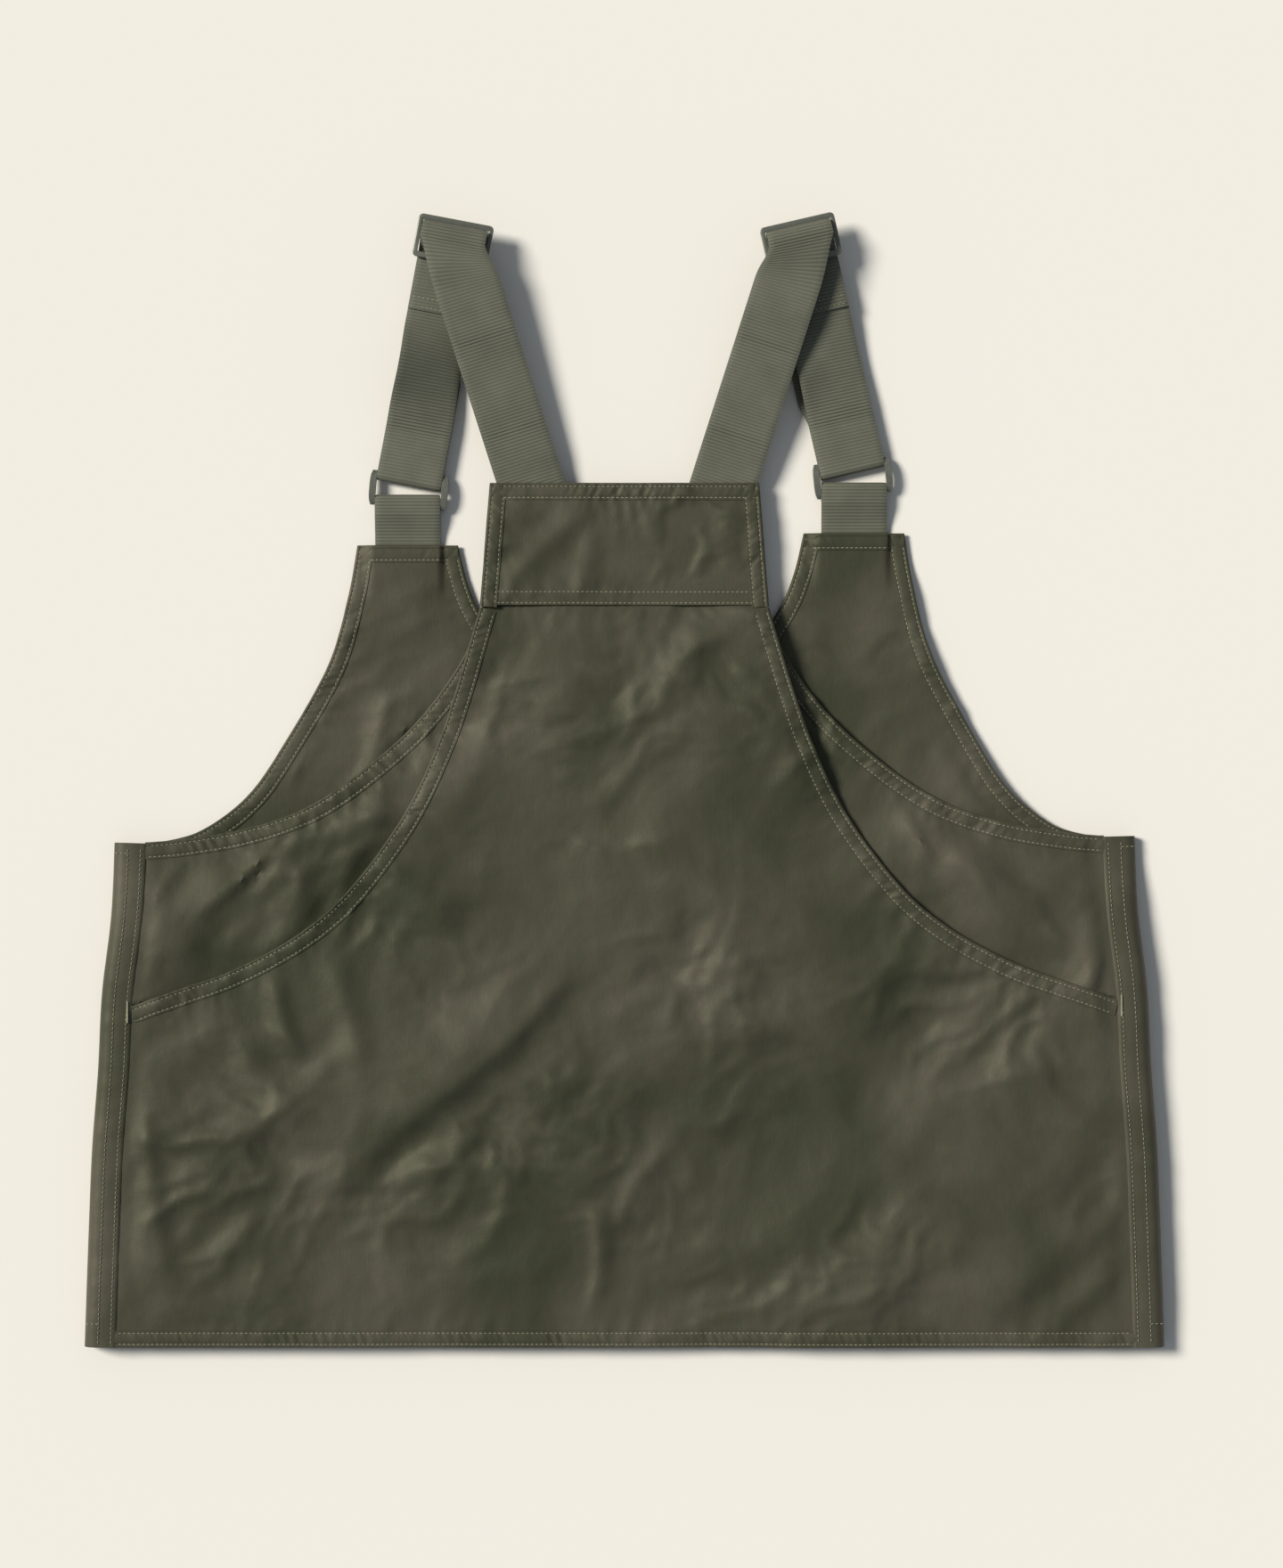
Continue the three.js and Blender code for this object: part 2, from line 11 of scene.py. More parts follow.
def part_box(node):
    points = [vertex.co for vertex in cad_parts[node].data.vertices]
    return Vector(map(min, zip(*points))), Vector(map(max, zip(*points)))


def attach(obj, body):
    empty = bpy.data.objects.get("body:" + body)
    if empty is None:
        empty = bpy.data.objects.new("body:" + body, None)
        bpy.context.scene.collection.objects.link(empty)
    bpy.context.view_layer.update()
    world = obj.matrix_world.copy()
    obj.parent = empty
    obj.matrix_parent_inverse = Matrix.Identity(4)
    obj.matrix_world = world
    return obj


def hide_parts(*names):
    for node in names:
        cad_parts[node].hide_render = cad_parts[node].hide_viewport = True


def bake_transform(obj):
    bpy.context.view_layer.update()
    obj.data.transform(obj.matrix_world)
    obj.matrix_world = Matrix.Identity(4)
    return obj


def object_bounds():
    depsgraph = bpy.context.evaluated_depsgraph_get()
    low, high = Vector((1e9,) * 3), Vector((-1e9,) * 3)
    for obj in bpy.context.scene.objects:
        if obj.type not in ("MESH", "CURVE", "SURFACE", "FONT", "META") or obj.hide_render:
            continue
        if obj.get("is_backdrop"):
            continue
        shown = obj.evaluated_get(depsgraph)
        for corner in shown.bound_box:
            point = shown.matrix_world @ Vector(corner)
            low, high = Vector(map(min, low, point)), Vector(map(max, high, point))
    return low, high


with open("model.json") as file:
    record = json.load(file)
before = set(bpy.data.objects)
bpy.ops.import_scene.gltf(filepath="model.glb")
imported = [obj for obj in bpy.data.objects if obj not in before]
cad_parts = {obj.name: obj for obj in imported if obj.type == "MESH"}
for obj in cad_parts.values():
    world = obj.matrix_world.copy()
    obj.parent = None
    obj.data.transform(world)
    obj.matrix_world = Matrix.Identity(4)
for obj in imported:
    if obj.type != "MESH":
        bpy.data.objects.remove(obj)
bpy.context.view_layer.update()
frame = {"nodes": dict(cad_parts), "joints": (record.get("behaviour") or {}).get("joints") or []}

# The garment is worked out in millimetres and laid down in metres.
MM = 0.001

# Cloth and sewing, in mm.
CLOTH = 1.1
HEM = 9.6  # width of a turned hem or binding
HEM_GATHER = 2.0  # height of the little gathers in a hem
ROW_OUTER = 1.9  # first row of stitches, from the edge
ROW_INNER = 8.3  # second row
STITCH = 2.7  # from one stitch to the next
STITCH_LENGTH = 1.75
THREAD = 0.5
BAND_FLANGE = 18.0  # width of a side band on the front and on the back
BIB_TOP_HALF = 77.5
LOBE_HALF = 29.0
SEAM_ALLOWANCE = 6.0  # how far the front panels go on under the side bands

# Webbing and hardware, in mm.
WEB_WIDTH = 37.5
WEB = 1.1
RIB = 1.9  # from one cross rib to the next
RIB_HEIGHT = 0.4
WIRE = 3.0
LOOP_LEG = 25.0
LEG_GAP = WIRE / 2 + 0.9  # from a ring bar's middle to the webbing's middle
BAR_SLACK = 2.4
RING_SPACING = 16.0  # between a ring's two bars
SLIDER_LENGTH = 25.0
SLIDER_THICKNESS = 2.4
SLIDER_BAR = 3.2
SLIDER_RAIL = 2.6
HARDWARE_PLAY = 1.0
FOLD_RADIUS = 6.9  # to the middle of the webbing
EYE_RADIUS = 2.9  # of the strap end's turn round the slider's middle bar
STRAP_BASE = {"left": -54.0, "right": 57.0}  # where each strap meets the bib's top
STRAP_LEAN = 17.8  # degrees, outwards
STRAP_HIDDEN = 12.0  # how far it goes on under the bib's hem
BACK_RUN_LEAN = {"left": 21.0, "right": 9.0}  # degrees that the webbing leans over by near the rings

SIDES = ("left", "right")
SIGN = {"left": -1, "right": 1}


def box_mm(node):
    low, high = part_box(node)
    return np.array(low) / MM, np.array(high) / MM


# ---------------------------------------------------------------- lines on the garment

def upper_outline(node):
    """The closed edge of a CAD slab's upper face, in mm, anticlockwise."""
    mesh = frame["nodes"][node].data
    mesh.calc_loop_triangles()
    places = np.empty(len(mesh.vertices) * 3)
    mesh.vertices.foreach_get("co", places)
    corners = np.empty(len(mesh.loop_triangles) * 3, int)
    mesh.loop_triangles.foreach_get("vertices", corners)
    places, same = np.unique(np.round(places.reshape(-1, 3) / MM, 2), axis=0, return_inverse=True)
    triangles = same.reshape(-1)[corners].reshape(-1, 3)
    top = places[:, 2] > places[:, 2].max() - 0.05
    triangles = triangles[top[triangles].all(axis=1)]
    ways = {(int(t[i]), int(t[(i + 1) % 3])) for t in triangles for i in range(3)}
    after = {a: b for a, b in ways if (b, a) not in ways}
    loops = []
    while after:
        start = at = next(iter(sorted(after)))
        loop = []
        while at in after:
            loop.append(at)
            at = after.pop(at)
        loops.append(places[loop][:, :2])
    return max(loops, key=len)


def lengths(line):
    return np.concatenate([[0], np.cumsum(np.linalg.norm(np.diff(line, axis=0), axis=1))])


def spaced(line, step):
    """The line with points about step apart."""
    along = lengths(line)
    at = np.linspace(0, along[-1], max(2, int(math.ceil(along[-1] / step)) + 1))
    return np.stack([np.interp(at, along, line[:, k]) for k in range(line.shape[1])], axis=1)


def rounded(line, step):
    """A smooth curve through the points, spaced evenly."""
    if len(line) < 3:
        return spaced(line, step)
    ends = np.vstack([2 * line[0] - line[1], line, 2 * line[-1] - line[-2]])
    t = np.linspace(0, 1, 8, endpoint=False)[:, None]
    runs = []
    for a, b, c, d in zip(ends[:-3], ends[1:-2], ends[2:-1], ends[3:]):
        runs.append(0.5 * (2 * b + (c - a) * t + (2 * a - 5 * b + 4 * c - d) * t ** 2
                           + (3 * b - a - 3 * c + d) * t ** 3))
    return spaced(np.vstack(runs + [line[-1:]]), step)


def smooth_loop(loop, step=2.0, corner=24):
    """A closed outline with its curves smoothed and its corners kept."""
    before, after = loop - np.roll(loop, 1, axis=0), np.roll(loop, -1, axis=0) - loop
    turn = np.degrees(np.arctan2(before[:, 0] * after[:, 1] - before[:, 1] * after[:, 0],
                                 (before * after).sum(axis=1)))
    corners = np.flatnonzero(np.abs(turn) > corner)
    stretches = []
    for a, b in zip(corners, np.append(corners[1:], corners[0] + len(loop))):
        stretch = loop[np.arange(a, b + 1) % len(loop)]
        stretches.append(rounded(stretch, step)[:-1])
    return np.vstack(stretches)


def between(loop, start, end):
    """The shorter way round a closed outline from near one place to near another."""
    i, j = (int(np.linalg.norm(loop - np.array(p), axis=1).argmin()) for p in (start, end))
    n = len(loop)
    forward = loop[(i + np.arange((j - i) % n + 1)) % n]
    backward = loop[(i - np.arange((i - j) % n + 1)) % n]
    return min(forward, backward, key=lambda run: lengths(run)[-1])


def sideways(line, distance):
    """The line moved to its left by a distance."""
    way = np.gradient(line, axis=0)
    way /= np.linalg.norm(way, axis=1)[:, None]
    return line + distance * np.column_stack([-way[:, 1], way[:, 0]])


def beside(points, line):
    """How far each point is from a line, how far along it is, and on which side (1 is left)."""
    a, d = line[:-1], np.diff(line, axis=0)
    long = np.maximum((d * d).sum(axis=1), 1e-12)
    start = lengths(line)[:-1]
    away, along, side = (np.empty(len(points)) for _ in range(3))
    for k in range(0, len(points), 4000):
        q = points[k:k + 4000, None] - a
        t = np.clip((q * d).sum(axis=2) / long, 0, 1)
        r = q - t[..., None] * d
        dist = (r * r).sum(axis=2)
        i = dist.argmin(axis=1)
        rows = np.arange(len(i))
        away[k:k + 4000] = np.sqrt(dist[rows, i])
        along[k:k + 4000] = start[i] + t[rows, i] * np.sqrt(long[i])
        side[k:k + 4000] = np.sign(d[i, 0] * r[rows, i, 1] - d[i, 1] * r[rows, i, 0])
    return away, along, side


def within(points, loop):
    """Which points lie inside a closed outline."""
    inside = np.zeros(len(points), bool)
    order = np.argsort(points[:, 1])
    heights = points[order, 1]
    for (ax, ay), (bx, by) in zip(loop, np.roll(loop, -1, axis=0)):
        if by != ay:
            first, last = np.searchsorted(heights, sorted((ay, by)))
            level = order[first:last]
            x, y = points[level].T
            inside[level] ^= x < (bx - ax) * (y - ay) / (by - ay) + ax
    return inside


# ---------------------------------------------------------------- the lie of the cloth

def hills(x, y, cell, seed):
    """Smooth gradient noise, about -1 to 1, with hills a cell apart."""
    turn = np.random.default_rng(seed).uniform(0, 2 * math.pi, (64, 64))
    u, v = np.asarray(x) / cell, np.asarray(y) / cell
    i, j = np.floor(u).astype(int), np.floor(v).astype(int)
    fu, fv = u - i, v - j

    def pull(di, dj):
        a = turn[(i + di) % 64, (j + dj) % 64]
        return np.cos(a) * (fu - di) + np.sin(a) * (fv - dj)

    su, sv = (f * f * f * (f * (f * 6 - 15) + 10) for f in (fu, fv))
    low = pull(0, 0) + su * (pull(1, 0) - pull(0, 0))
    high = pull(0, 1) + su * (pull(1, 1) - pull(0, 1))
    return 1.5 * (low + sv * (high - low))


def ramp(value, low, high):
    t = np.clip((value - low) / (high - low), 0, 1)
    return t * t * (3 - 2 * t)


def crumpled(x, y, seed):
    """The lie of crisp poplin: slow swells, softer folds and sharp little creases."""
    u = x + 16 * hills(x, y, 70, seed) + 4 * hills(x, y, 22, seed + 9)
    v = y + 16 * hills(x, y, 70, seed + 1) + 4 * hills(x, y, 22, seed + 10)
    lift = 3.6 * hills(u, v, 120, seed + 2) + 1.2 * hills(u, v, 50, seed + 3)
    # Folds run up to the right, so the ground they are drawn on is stretched that way. They come and go.
    a, b = 0.8 * u + 0.6 * v, 0.8 * v - 0.6 * u
    lively = 0.25 + 1.1 * ramp(hills(x, y, 90, seed + 7), -0.35, 0.6)
    lift += 4.6 * lively * (0.3 - np.abs(hills(a * 0.55, b, 62, seed + 4)))
    lift += 2.1 * lively * (0.3 - np.abs(hills(a * 0.7, b, 27, seed + 5)))
    lift += 0.6 * lively * (0.3 - np.abs(hills(u, v, 11, seed + 6)))
    return lift


def only_near(reach):
    """Works a shape out for the places near its line, and gives 0 elsewhere."""
    def wrap(shape):
        def wrapped(points, line, *values, **named):
            line = np.array(line, float)
            low, high = line.min(axis=0) - reach, line.max(axis=0) + reach
            close = ((points > low) & (points < high)).all(axis=1)
            lift = np.zeros(len(points))
            lift[close] = shape(points[close], line, *values, **named)
            return lift
        return wrapped
    return wrap


@only_near(60)
def ridge(points, line, height, left, right):
    """A fold along a line, with its own width on each side."""
    line = rounded(line, 6.0)
    away, along, side = beside(points, line)
    share = along / lengths(line)[-1]
    width = np.where(side > 0, left, right)
    return height * ramp(share, 0, 0.3) * ramp(1 - share, 0, 0.3) * np.exp(-(away / width) ** 2)


@only_near(40)
def crease(points, line, height, width):
    """A sharp little nip in the cloth: a steep step down on its right-hand side."""
    line = rounded(line, 3.0)
    away, along, side = beside(points, line)
    share = along / lengths(line)[-1]
    fall = np.where(side > 0, np.exp(-away / width), np.exp(-away / (0.22 * width)))
    return height * ramp(share, 0, 0.35) * ramp(1 - share, 0, 0.35) * fall


@only_near(45)
def puckers(points, line, seed, height=0.42, reach=9.0):
    """Little gathers that run off a sewn edge, stronger in some stretches than in others."""
    away, along, _ = beside(points, spaced(line, 5.0))
    strength = np.clip(0.6 + 1.1 * hills(along, 0 * along, 55, seed), 0.1, 1.4)
    wave = 0.6 * (0.3 - np.abs(hills(along + 0.35 * away, away * 0.2, 5.5, seed + 1)))
    broad = 0.3 - np.abs(hills(along - 0.2 * away, away * 0.14, 14, seed + 2))
    wave += 2.6 * broad * ramp(away, 0, 12)
    return 2.0 * height * strength * wave * np.exp(-away / reach)


# ---------------------------------------------------------------- outlines and edges

REAR, BODY, POCKET, YOKE = (
    smooth_loop(upper_outline(node))
    for node in ("rear_panel", "body_panel", "pocket_panel", "bib_yoke"))

yoke_low, yoke_high = box_mm("bib_yoke")
hem_y = box_mm("front_hem_band")[0][1]

BIB_CORNER = {side: np.array([SIGN[side] * yoke_high[0], yoke_low[1]]) for side in SIDES}
PIT, MOUTH_END, LOBE_OUTER, LOBE_INNER, FOLD, SEAM = {}, {}, {}, {}, {}, {}
for side in SIDES:
    s = SIGN[side]
    band_low, band_high = box_mm(f"side_band_{side}")
    inner = band_high[0] if s < 0 else band_low[0]
    PIT[side] = np.array([inner, band_high[1]])
    mouth_low, mouth_high = box_mm(f"pocket_mouth_binding_{side}")
    MOUTH_END[side] = np.array([mouth_low[0] if s < 0 else mouth_high[0], mouth_low[1] + HEM])
    arm_low, arm_high = box_mm(f"rear_armhole_binding_{side}")
    tab_low, tab_high = box_mm(f"tab_webbing_{side}")
    middle = (tab_low[0] + tab_high[0]) / 2
    half = abs(arm_low[0] if s > 0 else arm_high[0])
    LOBE_OUTER[side] = np.array([middle + s * LOBE_HALF, arm_high[1]])
    LOBE_INNER[side] = np.array([middle - s * LOBE_HALF, arm_high[1]])
    flange = smooth_loop(upper_outline(f"side_band_{side}"))
    top, low = band_high[1], band_low[1]
    outer_x = band_low[0] if s < 0 else band_high[0]
    FOLD[side] = between(flange, (inner + s * BAND_FLANGE, top), (outer_x, low))
    SEAM[side] = between(flange, PIT[side], (outer_x - s * BAND_FLANGE, low))


def seam_x(y, side):
    """Where a side seam lies at each height on the garment."""
    seam = SEAM[side][np.argsort(SEAM[side][:, 1])]
    return np.interp(y, seam[:, 1], seam[:, 0])


def past_seam(points, side):
    """How far places lie outwards of a side seam; less than 0 inside it."""
    return SIGN[side] * (points[:, 0] - seam_x(points[:, 1], side))


def tucked(loop):
    """A panel's outline cut off a little way beyond the side seams, inside the side bands."""
    loop = loop.copy()
    for side in SIDES:
        s = SIGN[side]
        limit = s * seam_x(loop[:, 1], side) + SEAM_ALLOWANCE
        beyond = (s * loop[:, 0] > limit) & (loop[:, 1] < SEAM[side][:, 1].max() + 1)
        loop[beyond, 0] = s * limit[beyond]
    return loop


ARMHOLE_REAR = {side: between(REAR, LOBE_OUTER[side], PIT[side]) for side in SIDES}
ARMHOLE_BODY = {side: between(BODY, BIB_CORNER[side], PIT[side]) for side in SIDES}
MOUTH = {side: between(POCKET, BIB_CORNER[side], MOUTH_END[side]) for side in SIDES}
BIB_SIDE = {side: between(YOKE, BIB_CORNER[side], (SIGN[side] * BIB_TOP_HALF, yoke_high[1]))
            for side in SIDES}
NECK = between(REAR, LOBE_INNER["left"], LOBE_INNER["right"])
BIB_TOP = between(YOKE, (-BIB_TOP_HALF, yoke_high[1]), (BIB_TOP_HALF, yoke_high[1]))
BIB_SEAM = between(YOKE, BIB_CORNER["left"], BIB_CORNER["right"])
HEM_FRONT = spaced(np.array([[SEAM["left"][-1][0], hem_y], [SEAM["right"][-1][0], hem_y]]), 2.0)
LOBE_TOP = {side: spaced(np.array([LOBE_OUTER[side], LOBE_INNER[side]]), 2.0) for side in SIDES}


# ---------------------------------------------------------------- heights of the layers

TAB_X = {side: float(np.mean([box_mm(f"tab_webbing_{side}")[k][0] for k in (0, 1)])) for side in SIDES}


def side_lift(y):
    """How high the side seam stands: it flattens towards the armpit."""
    return ramp(-y, 34, 95)


# Heights at which the layers lie, how far the bib sinks towards its top, where fewer layers lie
# under it, and the room that a layer keeps under the next one, all in mm.
BODY_LEVEL, POCKET_LEVEL, YOKE_LEVEL = 8.6, 14.6, 16.9
BIB_DROOP = 4.5
BODY_DROOP = 2.6
ROOM_UNDER_YOKE = 1.3
ROOM_UNDER_PANEL = 2.4
FOLD_STRENGTH = 1.3  # times the heights in the tables of folds and nips below


def bib_share(y):
    """0 at the bottom of the bib and 1 at its top."""
    return ramp(y, 55, 125)


def folds(points, table):
    return FOLD_STRENGTH * sum(ridge(points, *row) for row in table)


def nips(points, table):
    return FOLD_STRENGTH * sum(crease(points, *row) for row in table)


def rear_height(points):
    x, y = points.T
    lift = 0.75 + np.maximum(0, 1.3 + 1.15 * crumpled(x, y, 11))
    lift *= ramp(np.minimum(y + 330, 60), 0, 25)
    for side in SIDES:
        lift += 0.8 * puckers(points, ARMHOLE_REAR[side], 21 + len(side))
        top = LOBE_OUTER[side][1]
        across = x - TAB_X[side]
        over = ramp(y, top - 40, top - 12) * ramp(60 - np.abs(across), 0, 20)
        # The lobe's end stands over its tab.
        lift += over * (1.5 + 2.4 * ramp(across, -27, -19.5) * ramp(20.6 - across, 0, 1.8) - lift)
    lift += 0.8 * puckers(points, NECK, 29)
    lift += nips(points, REAR_CREASES)
    return 1.2 + np.maximum(lift, 0)


def body_height(points):
    x, y = points.T
    lift = BODY_LEVEL + 1.5 * crumpled(x, y, 31)
    for side in SIDES:
        past = past_seam(points, side)
        rise = np.where(y > MOUTH_END[side][1] - 6, 6.0, 2.2) * side_lift(y)
        lift += ramp(past, -46, -4) * rise
        lift += ramp(past, -16, -3) * (BODY_LEVEL + rise - lift)
        lift += puckers(points, ARMHOLE_BODY[side], 41 + len(side), 0.85, 9.0)
    lift += folds(points, BODY_FOLDS) + nips(points, BODY_CREASES)
    lift += 1.6 * ramp(-y, 290, 326)
    return lift - BODY_DROOP * bib_share(y)


def pocket_height(points):
    x, y = points.T
    lift = POCKET_LEVEL + 1.2 * crumpled(x, y, 51)
    lift += folds(points, POCKET_FOLDS) + nips(points, POCKET_CREASES)
    for side in SIDES:
        lift += puckers(points, MOUTH[side], 61 + len(side), 0.85, 10.0)
        lift += 0.5 * puckers(points, SEAM[side], 71 + len(side), 0.4, 6.0)
        lift += ramp(past_seam(points, side), -16, -3) * (14.4 - lift)
    lift += puckers(points, BIB_SEAM, 81, 0.9, 11.0)
    lift += puckers(points, HEM_FRONT, 83, 1.0, 12.0)
    lift += 1.0 * ramp(y, 55, 98)
    # The hem holds the cloth down and calms it.
    at_hem = 12.4
    return at_hem + (lift - at_hem) * (0.35 + 0.65 * ramp(y, -326, -285)) - BIB_DROOP * bib_share(y)


def yoke_height(points):
    x, y = points.T
    lift = YOKE_LEVEL + crumpled(x, y, 91)
    lift += puckers(points, BIB_SEAM, 93, 0.7, 9.0) + puckers(points, BIB_TOP, 95, 1.0, 15.0)
    for side in SIDES:
        lift += puckers(points, BIB_SIDE[side], 97 + len(side), 0.35, 6.0)
    lift += folds(points, YOKE_FOLDS)
    return np.maximum(lift, YOKE_LEVEL - 0.6) - BIB_DROOP * bib_share(y)


# Folds: (line, height, width to its left, width to its right), in mm.
BODY_FOLDS = (
    ([(-148, 8), (-200, -48), (-238, -110)], 2.4, 9, 16),
    ([(-118, 20), (-150, -30), (-176, -66)], 1.5, 10, 8),
    ([(-222, -40), (-262, -110)], 1.8, 10, 12),
    ([(262, -40), (225, -68), (170, -22)], 1.4, 12, 10),
    ([(150, 0), (205, -62), (262, -120)], 2.0, 13, 12),
    ([(186, -30), (232, -76), (272, -112)], 1.6, 9, 10),
)
POCKET_FOLDS = (
    ([(-162, -224), (-118, -190), (-78, -158), (-48, -128), (-22, -92)], 4.4, 34, 9),
    ([(-124, -240), (-98, -214), (-78, -190)], 3.0, 22, 8),
    ([(-279, -180), (-274, -232), (-262, -306)], 2.8, 8, 15),
    ([(-224, -140), (-208, -176), (-176, -214)], 2.0, 12, 9),
    ([(-204, -108), (-196, -141), (-185, -166)], 2.2, 6, 7),
    ([(-172, -96), (-160, -130), (-150, -180)], 1.9, 9, 8),
    ([(190, -322), (238, -282), (282, -234)], 3.4, 24, 13),
    ([(236, -324), (262, -300), (290, -276)], 2.0, 10, 8),
    ([(120, -316), (156, -290), (206, -262)], 1.8, 14, 9),
    ([(-22, -314), (-14, -280), (-18, -240)], 1.6, 4, 7),
    ([(232, -140), (244, -180), (282, -214)], 1.9, 9, 12),
    ([(-146, -46), (-120, -70), (-88, -84)], 2.4, 15, 10),
    ([(-170, -70), (-120, -104), (-50, -108)], 2.0, 16, 12),
    ([(8, -10), (40, -60), (96, -92)], 1.6, 12, 14),
    ([(60, 80), (92, 20), (104, -30)], 1.5, 9, 12),
    ([(-70, 70), (-84, 20), (-110, -20)], 1.5, 10, 12),
)
# Nips: (line, height, width), in mm; each runs so that its steep side is on the right.
BODY_CREASES = (
    ([(-253, -86), (-238, -73), (-221, -59), (-196, -32)], 2.6, 11),
    ([(-218, -104), (-196, -92), (-178, -70), (-160, -40)], 1.5, 9),
    ([(-272, -76), (-262, -58), (-250, -44)], 1.3, 8),
    ([(181, -53), (169, -33), (160, -15)], 1.9, 9),
    ([(236, -98), (216, -78), (200, -48)], 1.6, 10),
    ([(264, -104), (246, -86), (232, -62)], 1.3, 8),
)
REAR_CREASES = (
    ([(215, -26), (197, -3), (190, 15)], 1.1, 7),
    ([(-196, -10), (-186, 10), (-170, 24)], 0.9, 8),
    ([(-170, 62), (-160, 80), (-150, 96)], 0.8, 8),
    ([(134, 62), (146, 78), (164, 90)], 0.8, 8),
)
POCKET_CREASES = (
    ([(-36, 60), (-60, 58), (-88, 51)], 0.9, 7),
    ([(46, 58), (32, 58), (17, 60)], 1.0, 6),
    ([(78, 62), (70, 63), (60, 66)], 0.9, 6),
    ([(86, 33), (70, 42), (54, 46)], 1.0, 7),
    ([(-5, -42), (-18, -38), (-32, -33)], 1.2, 7),
    ([(30, -36), (16, -35), (-1, -38)], 1.1, 7),
)
YOKE_FOLDS = (
    ([(-66, 104), (-58, 122), (-38, 142), (-12, 164)], 1.7, 9, 7),
    ([(-30, 102), (-22, 124), (-18, 150)], 1.2, 6, 7),
    ([(10, 104), (22, 126), (14, 160)], 1.4, 7, 8),
    ([(34, 108), (46, 130), (40, 158)], 1.2, 6, 7),
    ([(74, 112), (58, 132), (62, 164)], 1.5, 7, 8),
)


# ---------------------------------------------------------------- making meshes

def new_piece(name, vertices, faces, look, angle=40):
    """A mesh in mm made an object in metres and shaded smooth."""
    mesh = bpy.data.meshes.new(name)
    mesh.from_pydata((np.asarray(vertices, float) * MM).tolist(), [], faces)
    mesh.validate()
    piece = bpy.data.objects.new(name, mesh)
    bpy.context.scene.collection.objects.link(piece)
    finish_piece(piece, look, angle)
    return piece


def finish_piece(piece, look, angle=40):
    piece.data.materials.clear()
    piece.data.materials.append(look)
    pick(piece)
    bpy.ops.object.shade_smooth_by_angle(angle=math.radians(angle))


def pick(*pieces):
    bpy.ops.object.select_all(action="DESELECT")
    for piece in pieces:
        piece.select_set(True)
    bpy.context.view_layer.objects.active = pieces[0]


def outwards(piece):
    form = bmesh.new()
    form.from_mesh(piece.data)
    bmesh.ops.recalc_face_normals(form, faces=form.faces)
    form.to_mesh(piece.data)
    form.free()


def panel(name, loop, height, fine=1.7, coarse=3.2, dense=None):
    """A thin closed sheet of cloth over an outline, with a finer mesh along its edges."""
    near, inset = 15.0, 0.7
    edge = spaced(np.vstack([loop, loop[:1]]), fine)[:-1]
    edge = sideways(np.vstack([edge[-1:], edge, edge[:1]]), inset)[1:-1]
    low, high = edge.min(axis=0), edge.max(axis=0)
    rough_edge = np.vstack([spaced(edge, 5.0), edge[:1]])
    found = [edge]
    for pitch, close in ((fine * 1.15, True), (coarse, False)):
        x, y = np.meshgrid(np.arange(low[0], high[0], pitch),
                           np.arange(low[1], high[1], pitch * 0.866))
        x[1::2] += pitch / 2
        points = np.column_stack([x.ravel(), y.ravel()])
        points = points[within(points, edge)]
        away = beside(points, rough_edge)[0]
        finely = away < near
        if dense is not None:
            finely &= dense(points)
        found.append(points[(finely == close) & (away > 0.6 * fine)])
    points = np.vstack(found)
    n = len(edge)
    ring = [(i, (i + 1) % n) for i in range(n)]
    flat, _, faces, *_ = delaunay_2d_cdt([Vector(p) for p in points], ring, [], 1, 1e-6)
    flat = np.array([tuple(p) for p in flat])
    top = height(flat)
    count = len(flat)
    vertices = np.vstack([np.column_stack([flat, top]), np.column_stack([flat, top - CLOTH])])
    ways = {(f[i], f[(i + 1) % 3]) for f in faces for i in range(3)}
    rim = [(a, b) for a, b in ways if (b, a) not in ways]
    shell = [tuple(f) for f in faces]
    shell += [tuple(count + i for i in reversed(f)) for f in faces]
    shell += [(b, a, a + count, b + count) for a, b in sorted(rim)]
    return new_piece(name, vertices, shell, POPLIN)


def skin(name, rings, look, angle=40):
    """A closed tube through rings of points that lie in order, with its ends closed."""
    rings = np.asarray(rings, float)
    count, size = rings.shape[:2]
    faces = []
    for i in range(count - 1):
        for k in range(size):
            m = (k + 1) % size
            faces.append((i * size + k, i * size + m, (i + 1) * size + m, (i + 1) * size + k))
    faces.append(tuple(range(size)))
    faces.append(tuple((count - 1) * size + k for k in reversed(range(size))))
    piece = new_piece(name, rings.reshape(-1, 3), faces, look, angle)
    outwards(piece)
    return piece


# The section of a turned hem: (distance in from the edge, height over the panel), from its underside
# round the outer edge and over the two sewn rows to its inner edge.
HEM_TOP = (
    (-0.25, -0.35), (0.0, 0.25), (0.55, 0.62), (1.2, 0.66), (1.9, 0.36), (2.6, 0.62), (3.7, 0.72),
    (5.1, 0.74), (6.5, 0.72), (7.6, 0.6), (8.3, 0.34), (8.9, 0.52), (9.5, 0.5), (9.75, 0.1),
)


